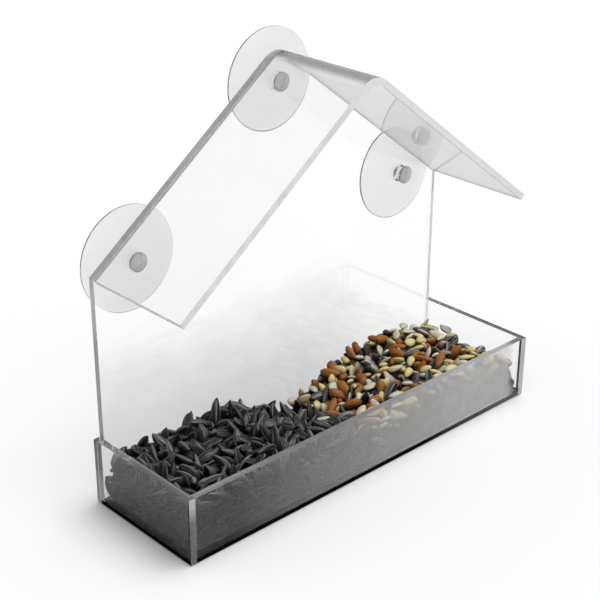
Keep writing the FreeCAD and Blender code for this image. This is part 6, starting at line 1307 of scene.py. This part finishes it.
    (4,3,9039,1664,1827,934,-97,-126,319), (4,5,8046,2205,2145,968,42,-32,245), (4,3,6976,1546,2565,980,-122,154,-17),
    (4,4,7683,1214,2405,575,292,254,721), (4,0,8197,900,2245,732,354,-77,-577), (4,4,8498,1652,2185,893,-300,287,-172),
    (3,6,8743,2172,1945,885,-204,253,334), (3,1,7012,957,2565,839,-53,113,-530), (3,4,6672,536,2645,-349,-47,-12,936),
    (1,5,7971,1624,2225,856,144,96,-488), (4,2,9434,1380,1965,659,102,45,-744), (4,3,9338,2127,1825,130,270,59,952),
    (4,1,7749,216,2485,982,-124,3,140), (4,1,6233,727,2585,-15,68,-265,962),
]


def profile_at(t, tip, butt):
    top = tip / (tip + butt)
    return (t ** tip) * ((1 - t) ** butt) / ((top ** tip) * ((1 - top) ** butt))


# kind: name, exponents of the two ends, rings along, points round, ridge depth
KINDS = {
    0: ("sunflower_seeds", 0.80, 0.58, 9, 14, 0.10),
    1: ("striped_seeds", 0.74, 0.52, 9, 14, 0.10),
    2: ("brown_kernels", 0.56, 0.46, 9, 12, 0.02),
    3: ("yellow_grains", 0.66, 0.44, 7, 10, 0.03),
    4: ("seed_hearts", 0.68, 0.44, 8, 10, 0.05),
    5: ("red_grains", 0.50, 0.50, 7, 10, 0.0),
}


def grain_shape(kind, shape):
    """Points, faces and (along, round, edge highlight) of one grain, in mm about its middle."""
    name, tip, butt, rings, n, ridge = KINDS[kind]
    length, width, thick = SIZES[(kind, shape)]
    rng = random.Random(97 * kind + shape)
    bend = rng.uniform(-0.06, 0.06) * length
    lean = rng.uniform(-0.04, 0.04) * length
    shell = kind in (0, 1)
    pts, uv, faces = [], [], []
    stations = [0.5 - 0.5 * math.cos(math.pi * (k + 1) / (rings + 1)) for k in range(rings)]
    stations = [0.012] + stations + [0.992]
    for t in stations:
        w = width / 2 * profile_at(t, tip, butt)
        h = thick / 2 * profile_at(t, tip * 0.92, butt)
        sag = 1 - (2 * t - 1) ** 2
        for k in range(n):
            a = 2 * math.pi * k / n
            u, v = math.cos(a), math.sin(a)
            if shell:
                # lens-shaped shell with a thin edge and lengthwise ribs
                v = math.copysign(abs(v) ** 1.30, v)
                v *= 1 + ridge * math.cos(6 * a + shape)
            waist = 1 - 0.10 * math.exp(-((t - 0.5) / 0.13) ** 2) if kind == 2 and shape % 3 == 0 else 1.0
            pts.append((-length / 2 + length * t, w * u * waist + lean * sag * 0.5, h * v * waist + bend * sag * 0.4))
            uv.append((t, k / n, abs(u) ** 6))
    rows = len(stations)
    for i in range(rows - 1):
        for k in range(n):
            j = (k + 1) % n
            faces.append((i * n + k, (i + 1) * n + k, (i + 1) * n + j, i * n + j))
    pts.append((-length / 2, 0, 0))
    uv.append((0.0, 0.5, 0.5))
    pts.append((length / 2, 0, 0))
    uv.append((1.0, 0.5, 0.5))
    for k in range(n):
        j = (k + 1) % n
        faces.append((rows * n, k, j))
        faces.append((rows * n + 1, (rows - 1) * n + j, (rows - 1) * n + k))
    return np.array(pts), np.array(uv), faces


def grain_material(kind):
    n = Nodes(KINDS[kind][0] + "_skin")
    along = n.add("ShaderNodeAttribute", attribute_name="along").outputs["Fac"]
    turn = n.add("ShaderNodeAttribute", attribute_name="round").outputs["Vector"]
    tone = n.add("ShaderNodeAttribute", attribute_name="tone").outputs["Fac"]
    edge_highlight = n.add("ShaderNodeAttribute", attribute_name="edge_highlight").outputs["Fac"]
    place = n.add("ShaderNodeTexCoord").outputs["Object"]
    fine = n.noise(place, 1500.0, 3.0, 0.6)
    blotch = n.noise(place, 420.0, 2.0, 0.5)
    streak = n.noise(turn, 2.6 if kind < 2 else 5.0, 2.0 if kind < 2 else 3.0, 0.6)
    skin = n.principled(Roughness=0.5)
    if kind == 0:
        dark = n.ramp(streak, [(0.42, (0.003, 0.003, 0.003)), (0.50, (0.011, 0.011, 0.012)), (0.56, (0.080, 0.080, 0.081)), (0.66, (0.30, 0.30, 0.30))])
        dark = n.mix(n.range(tone, 0.5, 1, 0.0, 0.45), dark, (0.050, 0.050, 0.051))
        # painted highlight: a lighter grey along the thin edge of each black shell
        colour = n.mix(n.math("MULTIPLY", edge_highlight, 0.75), dark, (0.27, 0.27, 0.27))
        skin.inputs["Specular IOR Level"].default_value = 0.22
    elif kind == 1:
        dark = n.ramp(streak, [(0.44, (0.012, 0.012, 0.013)), (0.50, (0.12, 0.12, 0.12)), (0.56, (0.62, 0.61, 0.58))])
        colour = n.mix(n.range(tone, 0, 1, 0.0, 0.7), dark, (0.040, 0.041, 0.047))
        skin.inputs["Specular IOR Level"].default_value = 0.3
    elif kind == 2:
        skin_c = n.ramp(streak, [(0.30, (0.36, 0.125, 0.018)), (0.55, (0.54, 0.21, 0.036)), (0.80, (0.68, 0.33, 0.080))])
        colour = n.mix(n.range(tone, 0, 1, 0.0, 0.55), skin_c, (0.30, 0.085, 0.014))
        # papery skin with darker creases
        colour = n.mix(n.range(n.noise(n.mapping(turn, (1, 1, 6)), 3.0, 3.0, 0.65), 0.42, 0.62, 0.0, 0.55), colour, (0.20, 0.055, 0.012))
        skin.inputs["Specular IOR Level"].default_value = 0.35
    elif kind == 3:
        body = n.ramp(along, [(0.0, (0.92, 0.86, 0.56)), (0.25, (0.90, 0.74, 0.25)), (0.9, (0.86, 0.68, 0.20)), (1.0, (0.72, 0.52, 0.20))])
        colour = n.mix(n.range(tone, 0, 1, 0.0, 0.55), body, (0.90, 0.84, 0.48))
    elif kind == 4:
        body = n.ramp(streak, [(0.30, (0.70, 0.67, 0.50)), (0.70, (0.90, 0.88, 0.74))])
        body = n.mix(n.range(tone, 0.40, 0.10, 0.0, 0.85), body, (0.86, 0.74, 0.33))
        colour = n.mix(n.range(tone, 0.5, 1, 0.0, 0.75), body, (0.70, 0.69, 0.60))
    else:
        body = n.ramp(blotch, [(0.35, (0.20, 0.038, 0.012)), (0.65, (0.36, 0.085, 0.022))])
        body = n.mix(n.range(tone, 0.35, 0.40, 0.0, 1.0), body, (0.014, 0.014, 0.020))
        colour = n.mix(n.range(along, 0.86, 0.98, 0.0, 0.8), body, (0.10, 0.03, 0.015))
    colour = n.mix(n.range(blotch, 0.25, 0.75, 0.35, 0.0), colour, (0.55, 0.52, 0.48) if kind > 1 else (0.25, 0.25, 0.25), "MULTIPLY")
    # painted shade between the grains, darker where neighbours cover a grain from the light above
    painted_gap_shade = n.add("ShaderNodeAttribute", attribute_name="painted_gap_shade").outputs["Fac"]
    colour = n.mix(n.range(painted_gap_shade, 0.18, 0.74, 0.0, 0.94 if kind < 2 else 0.92), colour, (0.012, 0.010, 0.008) if kind > 1 else (0.002, 0.002, 0.002))
    # duller, and darkened as painted shade, where a shell lies against a sheet
    dull_and_shaded = n.add("ShaderNodeAttribute", attribute_name="dull_and_shaded").outputs["Fac"]
    if kind < 2:
        colour = n.mix(n.math("MULTIPLY", dull_and_shaded, 0.85), colour, (0.020, 0.020, 0.020))
    n.link(colour, skin.inputs["Base Color"])
    low, high = {0: (0.38, 0.55), 1: (0.42, 0.6), 2: (0.45, 0.62), 3: (0.32, 0.46), 4: (0.5, 0.65), 5: (0.36, 0.5)}[kind]
    n.link(n.math("ADD", n.range(fine, 0.3, 0.7, low, high), n.math("MULTIPLY", dull_and_shaded, 0.3)), skin.inputs["Roughness"])
    depth = {0: 0.00035, 1: 0.0003, 2: 0.0003, 3: 0.0001, 4: 0.0002, 5: 0.0001}[kind]
    n.link(n.bump(fine, 0.25, 0.0001, n.bump(streak, 0.7, depth)), skin.inputs["Normal"])
    n.link(skin.outputs["BSDF"], n.out.inputs["Surface"])
    return n.mat


def axis_points():
    """Five points along every grain with the grain's half width there, for the shade between grains."""
    points, radii, middles = [], [], []
    for kind, shape, x, y, z, qw, qx, qy, qz in GRAINS:
        length, width, thick = SIZES[(kind, shape)]
        run = np.array(Quaternion((qw, qx, qy, qz)).normalized() @ Vector((length, 0, 0)))
        middle = np.array((x, y, z)) / 100.0
        points.append([middle + run * f for f in (-0.36, -0.18, 0.0, 0.18, 0.36)])
        radii.append([(width + thick) / 4 * f for f in (0.6, 0.9, 1.0, 0.9, 0.6)])
        middles.append(middle)
    return np.array(points), np.array(radii), np.array(middles)


AXES, RADII, MIDDLES = axis_points()


def closed_in(row, grain, normals):
    """0 where a grain lies open to the light from above, towards 1 where its neighbours cover it."""
    close = np.nonzero(((MIDDLES - MIDDLES[row]) ** 2).sum(1) < 11.0 ** 2)[0]
    close = close[close != row]
    if not len(close):
        return np.zeros(len(grain))
    points, radii = AXES[close].reshape(-1, 3), RADII[close].reshape(-1)
    way = points[None] - grain[:, None]
    far = np.sqrt((way ** 2).sum(2)) + 1e-6
    way /= far[:, :, None]
    facing = np.clip(((way * normals[:, None]).sum(2) + 0.25) / 1.25, 0.0, 1.0)
    share = np.minimum(radii[None] ** 2 / far ** 2, 1.0) * facing * (0.2 + 0.8 * np.clip(way[:, :, 2] + 0.1, 0.0, 1.0))
    return 1.0 - np.exp(-0.9 * share.sum(1))


# how uneven the grains of each kind are
UNEVEN = {0: 0.12, 1: 0.10, 2: 0.12, 3: 0.08, 4: 0.16, 5: 0.03}
BROAD = {0: (1.0, 1.12, 1.06), 1: (1.0, 1.06, 1.0), 2: (1.22, 1.06, 1.0), 3: (1.04, 1.06, 0.92), 4: (1.08, 1.04, 0.92), 5: (1.0, 1.0, 1.0)}


def pour(kind, rows, name, skin):
    rng = random.Random(31 + kind + rows[0][0])
    shapes = {}
    verts, along, around, tone, edge_highlights, painted_gap_shades, dull_and_shaded, faces = [], [], [], [], [], [], [], []
    count = 0
    low = np.array((-IN_X, -IN_D, BASE)) + 0.05
    high = np.array((IN_X, IN_D, 200.0)) - 0.05
    for row, (_, shape, x, y, z, qw, qx, qy, qz) in rows:
        if shape not in shapes:
            shapes[shape] = grain_shape(kind, shape)
        pts, uv, fcs = shapes[shape]
        turn = np.array(Quaternion((qw, qx, qy, qz)).normalized().to_matrix())
        a, t = uv[:, 1] * 2 * math.pi, uv[:, 0]
        f = [rng.random() * 2 * math.pi for _ in range(3)]
        swell = 1 + UNEVEN[kind] * (0.5 * np.sin(2 * a + f[0] + 3 * t) + 0.35 * np.sin(3 * a + f[1] - 5 * t) + 0.35 * np.sin(a + f[2] + 7 * t))
        size = np.array([rng.uniform(0.93, 1.07) for _ in range(3)]) * BROAD[kind]
        own = pts * size * np.stack([np.ones(len(pts)), swell, swell], axis=1)
        grain = own @ turn.T + np.array((x, y, z)) / 100.0
        # a grain that leans into a sheet is set just clear of it
        grain += np.maximum(low - grain.min(0), 0.0) - np.maximum(grain.max(0) - high, 0.0)
        verts.append(grain)
        normals = own / np.array(SIZES[(kind, shape)]) ** 2
        normals = (normals / (np.linalg.norm(normals, axis=1, keepdims=True) + 1e-9)) @ turn.T
        painted_gap_shades.append(closed_in(row, grain, normals))
        near_sheet = np.minimum(IN_X - np.abs(grain[:, 0]), IN_D + grain[:, 1])
        dull_and_shaded.append(np.clip(1.0 - near_sheet / 3.0, 0.0, 1.0) * np.clip((RIM - grain[:, 2]) / 3.0, 0.0, 1.0))
        t = rng.random()
        shift = rng.random() * 40
        along.append(uv[:, 0])
        edge_highlights.append(uv[:, 2])
        around.append(np.stack([np.cos(a) * 0.75 + shift, np.sin(a) * 0.75 + shift * 0.37, uv[:, 0] * 0.35 + shift * 0.11], axis=1))
        tone.append(np.full(len(pts), t))
        faces += [tuple(i + count for i in f) for f in fcs]
        count += len(pts)
    verts = np.concatenate(verts)
    obj = new_piece(name, verts.tolist(), faces, skin, "feeder", [True] * len(faces))
    mesh = obj.data
    for label, data in (("along", along), ("tone", tone), ("edge_highlight", edge_highlights), ("painted_gap_shade", painted_gap_shades), ("dull_and_shaded", dull_and_shaded)):
        mesh.attributes.new(label, "FLOAT", "POINT").data.foreach_set("value", np.concatenate(data).astype(np.float32))
    mesh.attributes.new("round", "FLOAT_VECTOR", "POINT").data.foreach_set(
        "vector", np.concatenate(around).astype(np.float32).ravel())
    return obj


for kind in KINDS:
    rows = [(i, g) for i, g in enumerate(GRAINS) if g[0] == kind]
    skin = grain_material(kind)
    # a large heap is made of several pieces
    count = 1 + len(rows) // 600
    for k in range(count):
        pour(kind, rows[k * len(rows) // count:(k + 1) * len(rows) // count], KINDS[kind][0] + ("_%d" % (k + 1) if count > 1 else ""), skin)

# ------------------------------------------------------------------ floor, light, camera
n = Nodes("studio_floor")
grey = n.noise(n.add("ShaderNodeTexCoord").outputs["Object"], 2.0, 2.0)
plain = n.principled(Roughness=0.8)
plain.inputs["Specular IOR Level"].default_value = 0.0
n.link(n.ramp(grey, [(0.3, (0.93, 0.93, 0.93)), (0.7, (0.95, 0.95, 0.95))]), plain.inputs["Base Color"])
n.link(plain.outputs["BSDF"], n.out.inputs["Surface"])
bm = bmesh.new()
bmesh.ops.create_grid(bm, x_segments=8, y_segments=8, size=6.0)
mesh = bpy.data.meshes.new("floor")
bm.to_mesh(mesh)
bm.free()
floor = bpy.data.objects.new("floor", mesh)
floor.location.z = -0.0004
scene.collection.objects.link(floor)
mesh.materials.append(n.mat)

world = bpy.data.worlds.new("studio")
scene.world = world
world.use_nodes = True
tree = world.node_tree
sky = tree.nodes["Background"]
way = tree.nodes.new("ShaderNodeTexCoord").outputs["Generated"]
split = tree.nodes.new("ShaderNodeSeparateXYZ")
tree.links.new(way, split.inputs["Vector"])
rise = tree.nodes.new("ShaderNodeMapRange")
tree.links.new(split.outputs["Z"], rise.inputs["Value"])
rise.inputs["From Min"].default_value, rise.inputs["From Max"].default_value = 0.0, 1.0
rise.inputs["To Min"].default_value, rise.inputs["To Max"].default_value = 0.24, 0.48
tree.links.new(rise.outputs["Result"], sky.inputs["Strength"])
sky.inputs["Color"].default_value = (1.0, 1.0, 1.0, 1.0)


lamp = bpy.data.lights.new("key", "SUN")
lamp.angle = math.radians(50)
lamp.energy = 2.28
key = bpy.data.objects.new("key", lamp)
key.rotation_euler = (Vector((0.0, 0.0, 0.0)) - Vector((0.32, -0.12, 1.0))).to_track_quat("-Z", "Y").to_euler()
key.visible_transmission = False
scene.collection.objects.link(key)

camera = bpy.data.cameras.new("camera")
camera.sensor_width = 36.0
camera.lens = 81.606
camera.clip_start = 0.01
view = bpy.data.objects.new("camera", camera)
view.location = (-0.361455, -0.369337, 0.312228)
view.rotation_euler = tuple(math.radians(a) for a in (64.8584, -0.1850, -43.0717))
scene.collection.objects.link(view)
scene.camera = view

scene.view_settings.view_transform = "Standard"
scene.view_settings.look = "None"
scene.cycles.caustics_reflective = False
scene.cycles.caustics_refractive = False
# light runs a long way inside the sheets before it leaves at an edge
scene.cycles.max_bounces = 96
scene.cycles.transmission_bounces = 96
scene.cycles.glossy_bounces = 96
scene.cycles.transparent_max_bounces = 64
